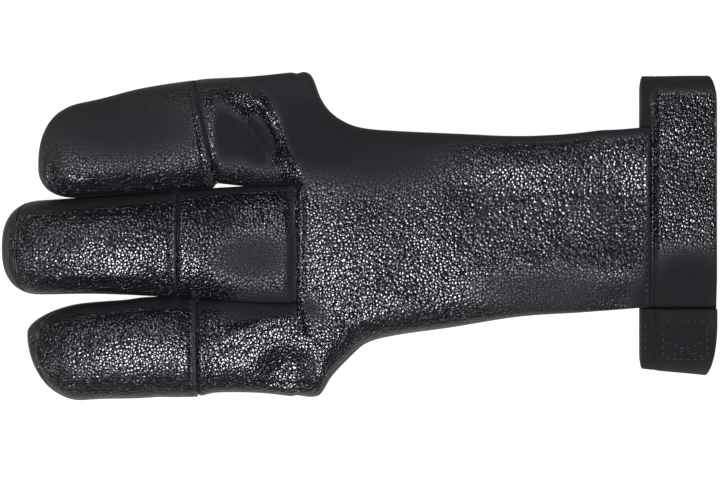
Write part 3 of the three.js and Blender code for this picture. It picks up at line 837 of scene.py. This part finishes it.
def leather(name, tint, pitch=(1.0, 1.0, 1.0), depth=0.25):
    """Black pebbled leather, which is smooth where steep or dull, with painted shade in its grain's creases
    and suede on the inside.
    """
    material, tree, shader = new_material(name)

    def times(first, second):
        return math_node(tree, "MULTIPLY", first, second)

    place = object_place(tree)
    mapping = add(tree, "ShaderNodeMapping")
    mapping.inputs["Scale"].default_value = [1 / (p * MM) for p in pitch]
    link(tree, place, mapping.inputs["Vector"])
    grain = pebbles(tree, mapping.outputs[0])
    fine = noise_node(tree, mapping.outputs[0], 5, 3)["Fac"]
    patch = range_node(tree, noise_node(tree, place, 55, 2)["Fac"], 0.3, 0.7, 0.85, 1.0)
    polish, inside, wear, level = (attribute(tree, key) for key in ("polish", "inside", "wear", "level"))

    pebbled = times(range_node(tree, polish, 0, 0.5, 0.2, 1), range_node(tree, level, 0, 1, 0.15, 1))
    outside = math_node(tree, "SUBTRACT", 1, inside)
    height = times(times(times(grain, patch), outside), pebbled)
    height = math_node(tree, "MULTIPLY_ADD", times(fine, pebbled), FINE_SHARE, height)
    bump(tree, shader, height, depth)

    worn = tuple(min(1, c * 2.6 + 0.004) for c in tint)
    # painted shade: the base colour is darker in the grain's creases
    crease_shade = tuple(c * 0.45 for c in tint)
    worn_share = times(wear, range_node(tree, fine, 0.35, 0.65, 0.2, 0.8))
    colour = colour_mix(tree, worn_share, colour_mix(tree, grain, crease_shade, tint), worn)
    link(tree, colour_mix(tree, inside, colour, SUEDE), shader.inputs["Base Color"])

    shine = times(range_node(tree, polish, 0, 0.8, 0, MOST_SHINE), range_node(tree, level, 0, 1, 0.5, 1))
    rough = math_node(tree, "SUBTRACT", 1, shine)
    rough = math_node(tree, "MAXIMUM", rough, times(inside, SUEDE_ROUGHNESS))
    link(tree, rough, shader.inputs["Roughness"])
    shader.inputs["Specular IOR Level"].default_value = LEATHER_SPECULAR
    return material


def textile(name, texture, low_colour, high_colour, depth, roughness):
    """A cloth or thread whose texture gives its relief, and its colour from low to high."""
    material, tree, shader = new_material(name)
    height = texture(tree, object_place(tree))
    link(tree, colour_mix(tree, height, low_colour, high_colour), shader.inputs["Base Color"])
    bump(tree, shader, height, depth)
    shader.inputs["Roughness"].default_value = roughness
    return material


def twisted(tree, place):
    twist = add(tree, "ShaderNodeTexWave", wave_type="BANDS", bands_direction="DIAGONAL")
    twist.inputs["Scale"].default_value = 900
    twist.inputs["Distortion"].default_value = 1.5
    link(tree, place, twist.inputs["Vector"])
    return twist.outputs["Fac"]


def looped(tree, place):
    return cells_node(tree, place, 1400, "F1")


THREAD_COLOURS = ((0.004, 0.004, 0.005), (0.012, 0.012, 0.014))
TAPE_COLOURS = ((0.02, 0.02, 0.022), (0.006, 0.006, 0.007))

BODY = leather("body_leather", (0.0028, 0.0025, 0.004))
CAP = leather("cap_leather", (0.0028, 0.0026, 0.0038))
STRAP = leather("strap_leather", (0.0027, 0.0026, 0.0036), pitch=(0.84, 1.16, 0.95), depth=0.24)
THREAD = textile("thread", twisted, *THREAD_COLOURS, depth=0.06, roughness=0.32)
DULL_THREAD = textile("dull_thread", twisted, *THREAD_COLOURS, depth=0.06, roughness=0.6)
TAPE = textile("fastening_tape", looped, *TAPE_COLOURS, depth=0.2, roughness=0.95)


# Fingertips
NOSE_ROWS = 44
CAP_ROWS = 84
CAP_COLUMNS = 72
PAD_NOSE_ROWS = 14
PAD_COLUMNS = 84
SEAM_ROLL = 0.2
SEAM_ROLL_REACH = 0.9
TIP_SEAM_ROLL = 0.35
TIP_SEAM_REACH = 0.7
CAP_STITCH = 1.9
CAP_STITCH_DIP = 0.3
CAP_EDGE_DIP = 0.2


def seam_angle(finger, s):
    """How far up a section its seam lies: at its side, and rising over the tip."""
    share = np.clip((s - finger.rim) / (finger.tip_length - finger.rim), 0, 1)
    return math.pi / 2 * (1 - share) ** SEAM_FALL


def slack_angle(finger, s):
    return SEAM_SLACK / 2 / (crown_of(finger, s - finger.length) - SEAM_HEIGHT)


def cap_rows(finger):
    start = finger.rim + SEAM_SLACK / 2
    nose = mix(start, finger.tip_length, np.linspace(0, 1, NOSE_ROWS) ** 1.7)
    return np.concatenate([nose, onward(finger.tip_length, finger.cap_length, CAP_ROWS)])


def leaned(finger, s, point):
    share = np.clip(s / finger.cap_length, 0, 1) ** 4
    return s - finger.cap_tilt * (point[..., 1] - axis_of(finger, point[..., 0])) * share


def seam_distance(points):
    """Distance along each row from its nearer end."""
    steps = np.linalg.norm(points[:, 1:] - points[:, :-1], axis=2)
    run = np.concatenate([np.zeros((len(points), 1)), np.cumsum(steps, axis=1)], axis=1)
    return np.minimum(run, run[:, -1:] - run)


def seam_roll(finger, points):
    """How far the leather draws in along a finger's outer seam; its slit sides stay full."""
    offset = points[..., 1] - axis_of(finger, points[..., 0])
    return -SEAM_ROLL * bell(seam_distance(points), SEAM_ROLL_REACH) * ease(offset * finger.outer, 0, 3)


def tip_sheet(finger, kind, rows, opened, columns, point_at, rise_at):
    """One of a fingertip's two sheets, with the dips and the stitches along its edge."""
    points = point_at(rows, np.linspace(0, 1, columns)[None, :])
    step = 1 / (columns - 1)
    beyond = [point_at(opened, np.array([ends])) for ends in ([-step, 0], [1, 1 + step])]
    from_edge = finger.cap_length - rows
    dips = CAP_STITCH_DIP * bell(from_edge - CAP_STITCH, 0.55) + CAP_EDGE_DIP * bell(from_edge, 0.5)
    off_seam = ease(np.abs(points[..., 2] - SEAM_HEIGHT), 1.5, 4)
    name = f"{finger.name}_{kind}"
    grids = [(points, rise_at(points) - dips * off_seam)]
    line, normals = sheet(name, grids, CAP_LEATHER, "cap_leather", CAP, beyond)[0]
    row = nearest(rows[:, 0], finger.cap_length - CAP_STITCH)
    stitch_row(name + "_stitches", line[row, 2:-2], normals[row, 2:-2], "cap_leather", THREAD,
               pitch=2.4, length=1.8)


def cap_piece(finger):
    rows = cap_rows(finger)[:, None]

    def point_at(s, across):
        seam = np.minimum(math.pi / 2, seam_angle(finger, s - SEAM_SLACK / 2) + slack_angle(finger, s))
        angle = mix(seam, math.pi - seam, across)
        return finger_point(finger, leaned(finger, s, finger_point(finger, s, angle)), angle)

    def rise_at(points):
        at_tip = 1 - ease(rows, finger.rim + 2, finger.tip_length)
        rise = seam_roll(finger, points) * ease(rows, finger.rim, finger.rim + 1.5)
        return rise - TIP_SEAM_ROLL * bell(seam_distance(points), TIP_SEAM_REACH) * at_tip

    tip_sheet(finger, "cap", rows, rows[1:], CAP_COLUMNS, point_at, rise_at)


def pad_piece(finger):
    start = finger.rim - SEAM_SLACK / 2
    nose = start * np.linspace(0, 1, PAD_NOSE_ROWS) ** 1.8
    rows = np.concatenate([nose, cap_rows(finger)[1:] - SEAM_SLACK / 2])[:, None]

    def point_at(s, across):
        fallen = seam_angle(finger, s + SEAM_SLACK / 2) - slack_angle(finger, s)
        seam = np.where(s <= start + 1e-9, math.pi / 2, fallen)
        return finger_point(finger, s, mix(math.pi - seam, 2 * math.pi + seam, across))

    def rise_at(points):
        from_seam = np.where(rows < start, start - rows, seam_distance(points))
        tip_seam = bell(from_seam, TIP_SEAM_REACH) * ease(points[..., 2], 8, 11)
        rise = seam_roll(finger, points) * ease(rows, start - 0.4, start + 1.2)
        return rise - TIP_SEAM_ROLL * tip_seam * (1 - ease(rows, start + 2, finger.tip_length))

    tip_sheet(finger, "pad", rows, rows[PAD_NOSE_ROWS:], PAD_COLUMNS, point_at, rise_at)


for finger in (index, middle, ring):
    cap_piece(finger)
    pad_piece(finger)


# Middle finger piece and palm piece
BODY_STEP = 0.6
PALM_STEP = 0.8
SEAM_ROLL_FADE = (-14, -1)
MIDDLE_COLUMNS = 72
KNUCKLE_DIP = 1.5
PALM_COLUMNS = 56
PALM_EDGE_HEIGHT = 0.3
PALM_GROOVE = 0.25
PALM_GROOVE_FROM_EDGE = 1.6
PALM_STITCH_ROW = -4


def body_rows(finger, end, step=BODY_STEP):
    start = finger.cap_length - finger.length - CAP_LAP
    return np.linspace(start, end, int((end - start) / step))[:, None]


def middle_piece():
    rows = body_rows(middle, KNUCKLE_LAP)
    slack = slack_angle(middle, middle.length - 10.0)
    angle = mix(slack, math.pi - slack, np.linspace(0, 1, MIDDLE_COLUMNS)[None, :])
    points = finger_point(middle, rows + middle.length, angle, tuck_of(middle, rows))
    rise = -KNUCKLE_DIP * bell(rows + 0.8, 1.7) * ease(points[..., 2], SEAM_HEIGHT, SEAM_HEIGHT + 3)
    sheet("middle_finger_piece", [(points, rise)], BODY_LEATHER, "body_leather", BODY)


def palm_piece():
    grids = []
    ceiling = SEAM_HEIGHT - SEAM_SLACK / 2
    across = np.linspace(0, 1, PALM_COLUMNS)[None, :]
    inner = {"index": 1 - across, "middle": np.abs(2 * across - 1), "ring": across}
    for finger in (index, middle, ring):
        rows = np.concatenate([body_rows(finger, -1, PALM_STEP), onward(-1, PALM_REACH, 10)[:, None]])
        angle = mix(math.pi, 2 * math.pi, across)
        points = finger_point(finger, rows + finger.length, angle, tuck_of(finger, rows))
        flattening = ease(rows, -1, PALM_REACH) * ease(inner[finger.name], 0.6, 1)
        z = np.minimum(points[..., 2], ceiling)
        points[..., 2] = mix(z, np.minimum(z, ceiling * PALM_EDGE_HEIGHT), flattening)
        rise = seam_roll(finger, points) * (1 - ease(rows, *SEAM_ROLL_FADE))
        groove = bell(rows - (PALM_REACH - PALM_GROOVE_FROM_EDGE), 0.5) * ease(ceiling - points[..., 2], 1, 3)
        grids.append((points, rise - PALM_GROOVE * groove))
    finished = sheet("palm_piece", grids, BODY_LEATHER, "body_leather", BODY)
    for (line, normals), finger in zip(finished, (index, middle, ring)):
        stitch_row("palm_edge_stitches_" + finger.name, line[PALM_STITCH_ROW, 4:-4],
                   normals[PALM_STITCH_ROW, 4:-4], "body_leather", THREAD)


middle_piece()
palm_piece()


# Wrist strap
STRAP_REAR = STRAP_LEATHER / 2
STRAP_FRONT = STRAP_LEATHER * 1.5 + WRIST_GAP
STRAP_INNER_END = STRAP_FRONT - TAB_STEP
TAB = STRAP_INNER_END + STRAP_LEATHER + PATCH_LEATHER + 2 * CLEARANCE
INDEX_BEND = (STRAP_FRONT - STRAP_REAR) / 2
RING_BEND = (TAB - STRAP_REAR) / 2
INDEX_BEND_Y = STRAP_INDEX_REACH - STRAP_LEATHER / 2 - INDEX_BEND
RING_BEND_Y = -STRAP_RING_REACH + STRAP_LEATHER / 2 + RING_BEND
INDEX_CORNER = side_at(index, 0.0, 1)
RING_CORNER = -side_at(ring, 0.0, 0)


def panel_upper(x):
    return mix(INDEX_WAIST, INDEX_CORNER, table_at(PANEL_SECTIONS, "index", x / PANEL_LENGTH))


def panel_lower(x):
    return -mix(RING_WAIST, RING_CORNER, table_at(PANEL_SECTIONS, "ring", x / PANEL_LENGTH))


TAB_END_Y = float(panel_lower(np.array(PANEL_LENGTH))) - 2 * CLEARANCE
DIP_END_Y = TAB_END_Y + 12


def strap_front_centre(y):
    return mix(STRAP_INNER_END, STRAP_FRONT, ease(y, TAB_END_Y - 1, DIP_END_Y))


def strap_path():
    """The strap's run in the YZ plane, from its low inner end to the tab's end."""
    def bend(y, radius, turn):
        return np.stack([y + radius * np.cos(turn), STRAP_REAR + radius + radius * np.sin(turn)], -1)

    front = np.linspace(RING_BEND_Y + 1, INDEX_BEND_Y, 100)
    rear = onward(INDEX_BEND_Y, RING_BEND_Y, 90)
    tab = onward(RING_BEND_Y, TAB_END_Y, 30)
    return np.concatenate([
        np.stack([front, strap_front_centre(front)], -1),
        bend(INDEX_BEND_Y, INDEX_BEND, onward(math.pi / 2, -math.pi / 2, 26)),
        np.stack([rear, np.full(rear.shape, STRAP_REAR)], -1),
        bend(RING_BEND_Y, RING_BEND, onward(-math.pi / 2, -1.5 * math.pi, 30)),
        np.stack([tab, np.full(tab.shape, TAB)], -1),
    ])


def flange_at(y):
    past = np.maximum(y - float(panel_upper(PANEL_LENGTH)), float(panel_lower(PANEL_LENGTH)) - y)
    return mix(FLANGE_LEATHER, FLANGE_FREE, ease(past, CLEARANCE, FLANGE_FREE_REACH))


def strap_top(across, flange, turned):
    """The strap's outer face over its width: flange, welt, groove, then the padded band.

    Where it turns over they draw level."""
    welt_start = FLANGE_WIDTH + 0.1
    groove_start = welt_start + WELT_WIDTH
    band_start = groove_start + GROOVE_WIDTH
    welt_share = np.clip((across - welt_start) / WELT_WIDTH, 0, 1)
    arch = np.sqrt(np.maximum(0, 1 - (2 * welt_share - 1) ** 2))
    welt = flange + (WELT_HEIGHT - flange) * arch
    band = GROOVE_HEIGHT + (STRAP_LEATHER - GROOVE_HEIGHT) * rolled(across - band_start + 0.3, 1.6)
    out = np.where(across < welt_start, flange, welt)
    out = np.where(across > groove_start, GROOVE_HEIGHT * 0.85, out)
    out = np.where(across > band_start - 0.3, band, out)
    out = mix(out, STRAP_LEATHER, turned)
    return out * (0.35 + 0.65 * rolled(STRAP_WIDTH - across, 1.4)) * (0.4 + 0.6 * rolled(across, 0.7))


def strap_inset(y, corner):
    """How far an edge of the strap draws in where it turns over."""
    def draw(left, reach):
        return 1 - np.sqrt(1 - np.clip(1 - left / reach, 0, 1) ** 2)

    return np.maximum(corner.index * draw(STRAP_INDEX_REACH - y, corner.index_reach),
                      corner.ring * draw(STRAP_RING_REACH + y, corner.ring_reach))


# The tab's hem, and where across the strap it starts and stops
HEM_HEIGHT = 0.45
HEM_LENGTH = 2.9
HEM_START = (6, 6.6)
HEM_STOP = (22.6, 23.4)
# The band past the welt, with its waves, and its creases, each as the distance run from the low
# inner end, its reach and its height
WELT_END = 6.5
BAND_START = (5.4, 7)
BAND_WAVE = 0.12
END_THINNING = 0.3
ROUNDED = 1.6
LOW_ROUNDED = 0.4
STRAP_CREASES = ((24, 0.7, 0.14), (26.6, 0.6, 0.12), (29.5, 0.8, 0.1))


def strap_relief(run, from_end, across):
    """The tab's hem, and the waves and creases of the strap's band."""
    hem = HEM_HEIGHT * (1 - ease(from_end, HEM_LENGTH, HEM_LENGTH + 0.6)) * ease(from_end, -0.01, 0.5)
    hem = hem[:, None] * (ease(across, *HEM_START) * (1 - ease(across, *HEM_STOP)))[None, :]
    wave = np.sin(run / 5.3)[:, None] * np.sin(across / 7 + run[:, None] / 11) * BAND_WAVE
    crease = sum(height * bell(run - at, reach) for at, reach, height in STRAP_CREASES)
    return hem, wave + crease[:, None]


def strap_end(rim, ids, upper, first):
    """Closes an end of the strap: from its upper face to a middle line, and on to its lower face.

    Returns the middle line's points, which are numbered from first, and the faces."""
    top = rim[:upper]
    base = rim[upper:][::-1]
    low = top.copy()
    for k in (1, 2):
        low[:, k] = np.interp(top[:, 0], base[:, 0], base[:, k])
    line = first + np.arange(upper)
    faces = []
    for k in range(upper - 1):
        faces += [(ids[k], ids[k + 1], line[k + 1]), (ids[k], line[k + 1], line[k])]
    lower = line[::-1]
    fan = ids[upper:]
    last_low, last_fan = len(lower) - 1, len(fan) - 1
    i = j = 0
    while i < last_low or j < last_fan:
        if j >= last_fan or (i < last_low and i / last_low <= j / last_fan):
            faces.append((fan[j], lower[i + 1], lower[i]))
            i += 1
        else:
            faces.append((fan[j], fan[j + 1], lower[i]))
            j += 1
    faces += [(ids[upper - 1], fan[0], line[-1]), (fan[-1], ids[0], line[0])]
    return (top + low) / 2, faces


def strap_piece():
    path = strap_path()
    run = run_along(path)
    along = unit(np.gradient(path, axis=0))
    outwards = np.stack([-along[:, 1], along[:, 0]], -1)
    over = np.concatenate([np.linspace(0, WELT_END, 34), onward(WELT_END, STRAP_WIDTH - ROUNDED, 34),
                           onward(STRAP_WIDTH - ROUNDED, STRAP_WIDTH, 10)])
    under = np.linspace(STRAP_WIDTH - LOW_ROUNDED, LOW_ROUNDED, 26)
    across = np.concatenate([over, under])
    top = np.concatenate([np.ones(len(over)), np.zeros(len(under))])[None, :]

    turned = 0.9 * ease(np.abs(outwards[:, 0:1]), 0.25, 0.8)
    out = strap_top(over[None, :], flange_at(path[:, 0:1]), turned)
    out = np.concatenate([out, np.zeros((len(path), len(under)))], axis=1)
    from_end = run[-1] - run
    hem, relief_of_band = strap_relief(run, from_end, across)
    lift = out + hem * top + relief_of_band * (ease(across, *BAND_START)[None, :] * top)
    thinned = 1 - END_THINNING * (bell(from_end, 0.35) + bell(run, 0.35))[:, None]
    offset = (lift - STRAP_LEATHER / 2) * np.where(lift > 0, thinned, 1)

    start = strap_inset(path[:, 0:1], FINGER_CORNER)
    end = STRAP_WIDTH - strap_inset(path[:, 0:1], WRIST_CORNER)
    x = mix(start, end, across[None, :] / STRAP_WIDTH)
    y = path[:, 0:1] + outwards[:, 0:1] * offset
    z = path[:, 1:2] + outwards[:, 1:2] * offset
    slant = STRAP_SLANT * (1 - x / STRAP_WIDTH) * ease(-y, -TAB_END_Y + 2, STRAP_RING_REACH - 4)
    points = np.stack([PANEL_LENGTH + x, y + slant, z], -1) + SHIFT

    ids = np.arange(points[..., 0].size).reshape(points.shape[:2])
    upper = len(over)
    inner_line, inner_faces = strap_end(points[0], ids[0], upper, ids.size)
    tab_line, tab_faces = strap_end(points[-1], ids[-1], upper, ids.size + upper)
    all_points = np.concatenate([points.reshape(-1, 3), inner_line, tab_line])
    all_faces = np.concatenate([looped_faces(ids), inner_faces, [face[::-1] for face in tab_faces]])
    inside = np.zeros(len(all_points))
    inside[:ids.size] = np.broadcast_to(1 - top, ids.shape).reshape(-1)
    level = np.ones(len(all_points))
    round_edges = 0.4 + 0.6 * rolled(across, 1.2) * rolled(STRAP_WIDTH - across, 1.8)
    upright = np.abs(outwards[:, 1:2]) * round_edges[None, :]
    level[:ids.size] = ease(upright - LEAN * outwards[:, 0:1], *STEEP_TO_LEVEL).reshape(-1)
    make_piece("wrist_strap", all_points, all_faces, "strap_leather", STRAP, ["wrist_strap"],
               polish=polish_at(all_points), inside=inside, wear=np.zeros(len(all_points)), level=level)


strap_piece()


# The tab's stitches: a box with a cross where the fastening is sewn on, and a row on its flange
TAB_STITCH_X = (116.4, 130.4)
TAB_STITCH_Y = (-24.6, -36.6)
FLANGE_STITCH_X = 110.8
TAB_STITCH_POINTS = 12


def tab_stitches():
    height = TAB + STRAP_LEATHER / 2
    x0, x1 = TAB_STITCH_X
    y0, y1 = TAB_STITCH_Y
    middle_y = mix(y0, y1, 0.5)
    flange_height = TAB - STRAP_LEATHER / 2 + FLANGE_FREE
    rows = {
        "box_finger_side": ((x0, y0), (x0, y1), height),
        "box_wrist_side": ((x1, y0), (x1, y1), height),
        "box_end": ((x0, y0), (x1, y0), height),
        "box_bend": ((x0, y1), (x1, y1), height),
        "cross_one": ((x0, middle_y), (x1, y1), height),
        "cross_two": ((x0, y1), (x1, middle_y), height),
        "flange": ((FLANGE_STITCH_X, y0), (FLANGE_STITCH_X, y1), flange_height),
    }
    shares = np.linspace(0, 1, TAB_STITCH_POINTS)[:, None]
    up = np.tile([0.0, 0, 1], (TAB_STITCH_POINTS, 1))
    for name, (start, end, z) in rows.items():
        line = mix(np.array([*start, z]), np.array([*end, z]), shares) + SHIFT
        stitch_row("tab_stitches_" + name, line, up, "strap_leather", DULL_THREAD,
                   pitch=2.2, length=1.5, radius=0.2, lift=0.04)


tab_stitches()


# Fastening patch: a block with rounded corners and edges, from outlines at shares of half its
# thickness, each with its inset
PATCH_SIDES = 64
PATCH_OUTLINES = ((-1, 0.35), (-0.6, 0.05), (0, 0), (0.6, 0.05), (1, 0.35))


def patch_piece():
    low, high = (np.array(c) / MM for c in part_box("fastening_patch"))
    centre = (low + high) / 2
    half = (high - low) / 2
    turn = np.linspace(0, 2 * math.pi, PATCH_SIDES, endpoint=False)
    plan = np.stack([power(np.cos(turn), 0.25), power(np.sin(turn), 0.25)], -1)
    rows = []
    for z, inset in PATCH_OUTLINES:
        height = np.full((PATCH_SIDES, 1), z * half[2])
        rows.append(np.concatenate([plan * (half[:2] - inset), height], axis=1) + centre)
    points = np.array(rows)
    ids = np.arange(points[..., 0].size).reshape(points.shape[:2])
    top = [(ids[-1, 0], ids[-1, k], ids[-1, k + 1]) for k in range(1, PATCH_SIDES - 1)]
    bottom = [(ids[0, 0], ids[0, k + 1], ids[0, k]) for k in range(1, PATCH_SIDES - 1)]
    faces = np.concatenate([looped_faces(ids), top, bottom])
    make_piece("fastening_patch", points.reshape(-1, 3), faces, "fastening_fabric", TAPE, ["fastening_patch"])


patch_piece()


# Back panel
HAND_ROWS = (22, 140)
PANEL_COLUMNS = SimpleNamespace(index=56, middle=50, ring=52)
KNUCKLE_RISE = 0.3
KNUCKLE_CREASE = 0.25
KNUCKLE_STITCH = 2.6
STRAP_SEAM_STITCH = 1.1


def dent_depth(x, y):
    """How deep the hollows over the finger bases are."""
    depth = np.zeros(np.broadcast(x, y).shape)
    for dent in DENTS:
        finger = dent.on
        u = (x - dent.along * finger.length) / (dent.reach_along * finger.length)
        v = (y - side_at(finger, 0.0, 0) - dent.across * finger.width) / (dent.reach_across * finger.width)
        depth = depth + dent.depth * finger.height * np.maximum(0, 1 - u * u - v * v) ** 2
    return depth


def strip_edges(finger, x):
    """The sides in plan of a finger's strip of the panel, over the finger and on over the hand."""
    low, high = finger_edges(finger, np.minimum(x, 0))
    bottom = panel_lower(np.maximum(x, 0))
    top = panel_upper(np.maximum(x, 0))
    evened = ease(x, 4, 50)
    lower_web = mix(side_at(middle, 0.0, 0), mix(bottom, top, 1 / 3), evened)
    upper_web = mix(side_at(middle, 0.0, 1), mix(bottom, top, 2 / 3), evened)
    in_hand = {"index": (upper_web, top), "middle": (lower_web, upper_web), "ring": (bottom, lower_web)}
    hand_low, hand_high = in_hand[finger.name]
    return np.where(x < 0, low, hand_low), np.where(x < 0, high, hand_high)


def strap_seat(y):
    """The panel's height where it lies on the strap's flange."""
    return strap_front_centre(y) - STRAP_LEATHER / 2 + FLANGE_LEATHER + CLEARANCE + BODY_LEATHER


def panel_point(finger, x, across):
    """A point on the panel's outside, over one finger and the hand behind it."""
    in_hand = ease(x, -24, -2)
    lower, upper = strip_edges(finger, x)
    bunched = (1 - power(np.cos(math.pi * across), 2 / TOP_SQUARENESS)) / 2
    share = mix(bunched, across, ease(x, 0, 20))
    tuck = np.where(x < 0, tuck_of(finger, x, mix(upper, lower, share)), 0) if finger is not middle else 0
    y = mix(upper - tuck, lower + tuck, share)
    half = (upper - lower) / 2 - tuck
    panel_crown = KNUCKLE_HEIGHT * table_at(PANEL_SECTIONS, "crown", x / PANEL_LENGTH)
    panel_edge = KNUCKLE_HEIGHT * table_at(PANEL_SECTIONS, "edge", x / PANEL_LENGTH)
    own = panel_crown if finger is middle else crown_of(finger, x)
    crown = mix(own, panel_crown, in_hand) - tuck

    web = SEAM_HEIGHT + SEAM_SLACK / 2
    web_drop = (1 - ease(x, -4, 3)) * (crown - web)
    web_reach = mix(half, WEB_ROLL, in_hand)
    edge_drop = crown - mix(web, panel_edge, ease(x, PALM_REACH - 2, PALM_REACH + 4))
    edge_reach = mix(half, np.minimum(EDGE_ROLL, half * 1.6), ease(x, -10, 15))
    z = crown
    for distance, at_edge in ((upper - tuck - y, finger is index), (y - lower - tuck, finger is ring)):
        drop, reach = (edge_drop, edge_reach) if at_edge else (web_drop, web_reach)
        z = z - drop * (1 - rolled(distance, reach))
    z = z - dent_depth(x, y)
    seated = ease(x, PANEL_LENGTH * 0.72, PANEL_LENGTH - 1)
    return np.stack(np.broadcast_arrays(x, y, mix(z, strap_seat(y), seated)), axis=-1)


def panel_piece():
    end = PANEL_LENGTH + PANEL_LAP_ON_STRAP
    hand = np.concatenate([np.linspace(0, 8, HAND_ROWS[0]), onward(8, end, HAND_ROWS[1])])
    grids = []
    for finger in (index, middle, ring):
        rows = hand[:, None]
        if finger is not middle:
            rows = np.concatenate([body_rows(finger, -0.2), rows])
        across = np.linspace(0, 1, getattr(PANEL_COLUMNS, finger.name))[None, :]
        points = panel_point(finger, rows, across)
        if finger is middle:
            rise = KNUCKLE_RISE * bell(rows - 1.3, 1.2) - KNUCKLE_CREASE * bell(rows, 0.5)
        else:
            rise = seam_roll(finger, points) * (1 - ease(rows, *SEAM_ROLL_FADE))
        grids.append((points, rise))
    finished = sheet("back_panel", grids, BODY_LEATHER, "body_leather", BODY)
    line, normals = finished[1]
    row = nearest(hand, KNUCKLE_STITCH)
    stitch_row("knuckle_stitches", line[row, 1:-1], normals[row, 1:-1], "body_leather", THREAD, pitch=2.5)
    row = nearest(hand, end - STRAP_SEAM_STITCH) - len(hand)
    line, normals = (np.concatenate([strip[k][row] for strip in finished]) for k in range(2))
    stitch_row("strap_seam_stitches", line[1:-1], normals[1:-1], "body_leather", THREAD, pitch=2.5)


panel_piece()


# Stage, lights and camera
FLOOR_REACH = 3.0
FLOOR_GLOW = 0.99
WORLD_LIGHT = 0.05
LIGHT_COLOUR = (0.93, 0.92, 1)


def floor():
    mesh = bpy.data.meshes.new("floor")
    corners = [(x * FLOOR_REACH, y * FLOOR_REACH, 0) for x, y in ((-1, -1), (1, -1), (1, 1), (-1, 1))]
    mesh.from_pydata(corners, [], [(0, 1, 2, 3)])
    plane = bpy.data.objects.new("floor", mesh)
    bpy.context.scene.collection.objects.link(plane)
    material, _, shader = new_material("floor")
    shader.inputs["Base Color"].default_value = (0.1, 0.1, 0.1, 1)
    shader.inputs["Emission Color"].default_value = (1, 1, 1, 1)
    shader.inputs["Emission Strength"].default_value = FLOOR_GLOW
    shader.inputs["Roughness"].default_value = 0.9
    shader.inputs["Specular IOR Level"].default_value = 0.1
    mesh.materials.append(material)


def area_light(name, place, size, energy):
    """A soft oblong light aimed at the shared frame's origin, which is under the glove."""
    light = bpy.data.lights.new(name, "AREA")
    light.energy = energy
    light.shape = "RECTANGLE"
    light.size, light.size_y = size
    light.color = LIGHT_COLOUR
    lamp = bpy.data.objects.new(name, light)
    lamp.location = place
    lamp.rotation_euler = (-Vector(place)).to_track_quat("-Z", "Y").to_euler()
    bpy.context.scene.collection.objects.link(lamp)


def surroundings():
    world = bpy.data.worlds.new("studio")
    world.use_nodes = True
    background = world.node_tree.nodes["Background"]
    background.inputs["Color"].default_value = (1, 1, 1, 1)
    background.inputs["Strength"].default_value = WORLD_LIGHT
    bpy.context.scene.world = world
    bpy.context.scene.view_settings.view_transform = "Standard"


CAMERA_HEIGHT = 1.5
FRAME_WIDTH = 0.2295
FRAME_CENTRE = (20.1, 1.26)
SENSOR = 36


def camera():
    """Looks straight down; the frame's width is met at half the glove's height."""
    lens = bpy.data.cameras.new("camera")
    lens.sensor_width = SENSOR
    lens.lens = SENSOR * (CAMERA_HEIGHT - cad_box[1][2] / 2) / FRAME_WIDTH
    lens.clip_end = 20
    eye = bpy.data.objects.new("camera", lens)
    eye.location = ((FRAME_CENTRE[0] + SHIFT[0]) * MM, (FRAME_CENTRE[1] + SHIFT[1]) * MM, CAMERA_HEIGHT)
    bpy.context.scene.collection.objects.link(eye)
    bpy.context.scene.camera = eye


floor()
area_light("key", place=(-0.07, -0.3, 1.3), size=(0.2, 0.46), energy=29)
area_light("fill", place=(-0.2, 0.44, 1.22), size=(0.18, 0.14), energy=4)
area_light("side", place=(-0.78, -0.36, 0.95), size=(0.1, 0.24), energy=4)
surroundings()
camera()
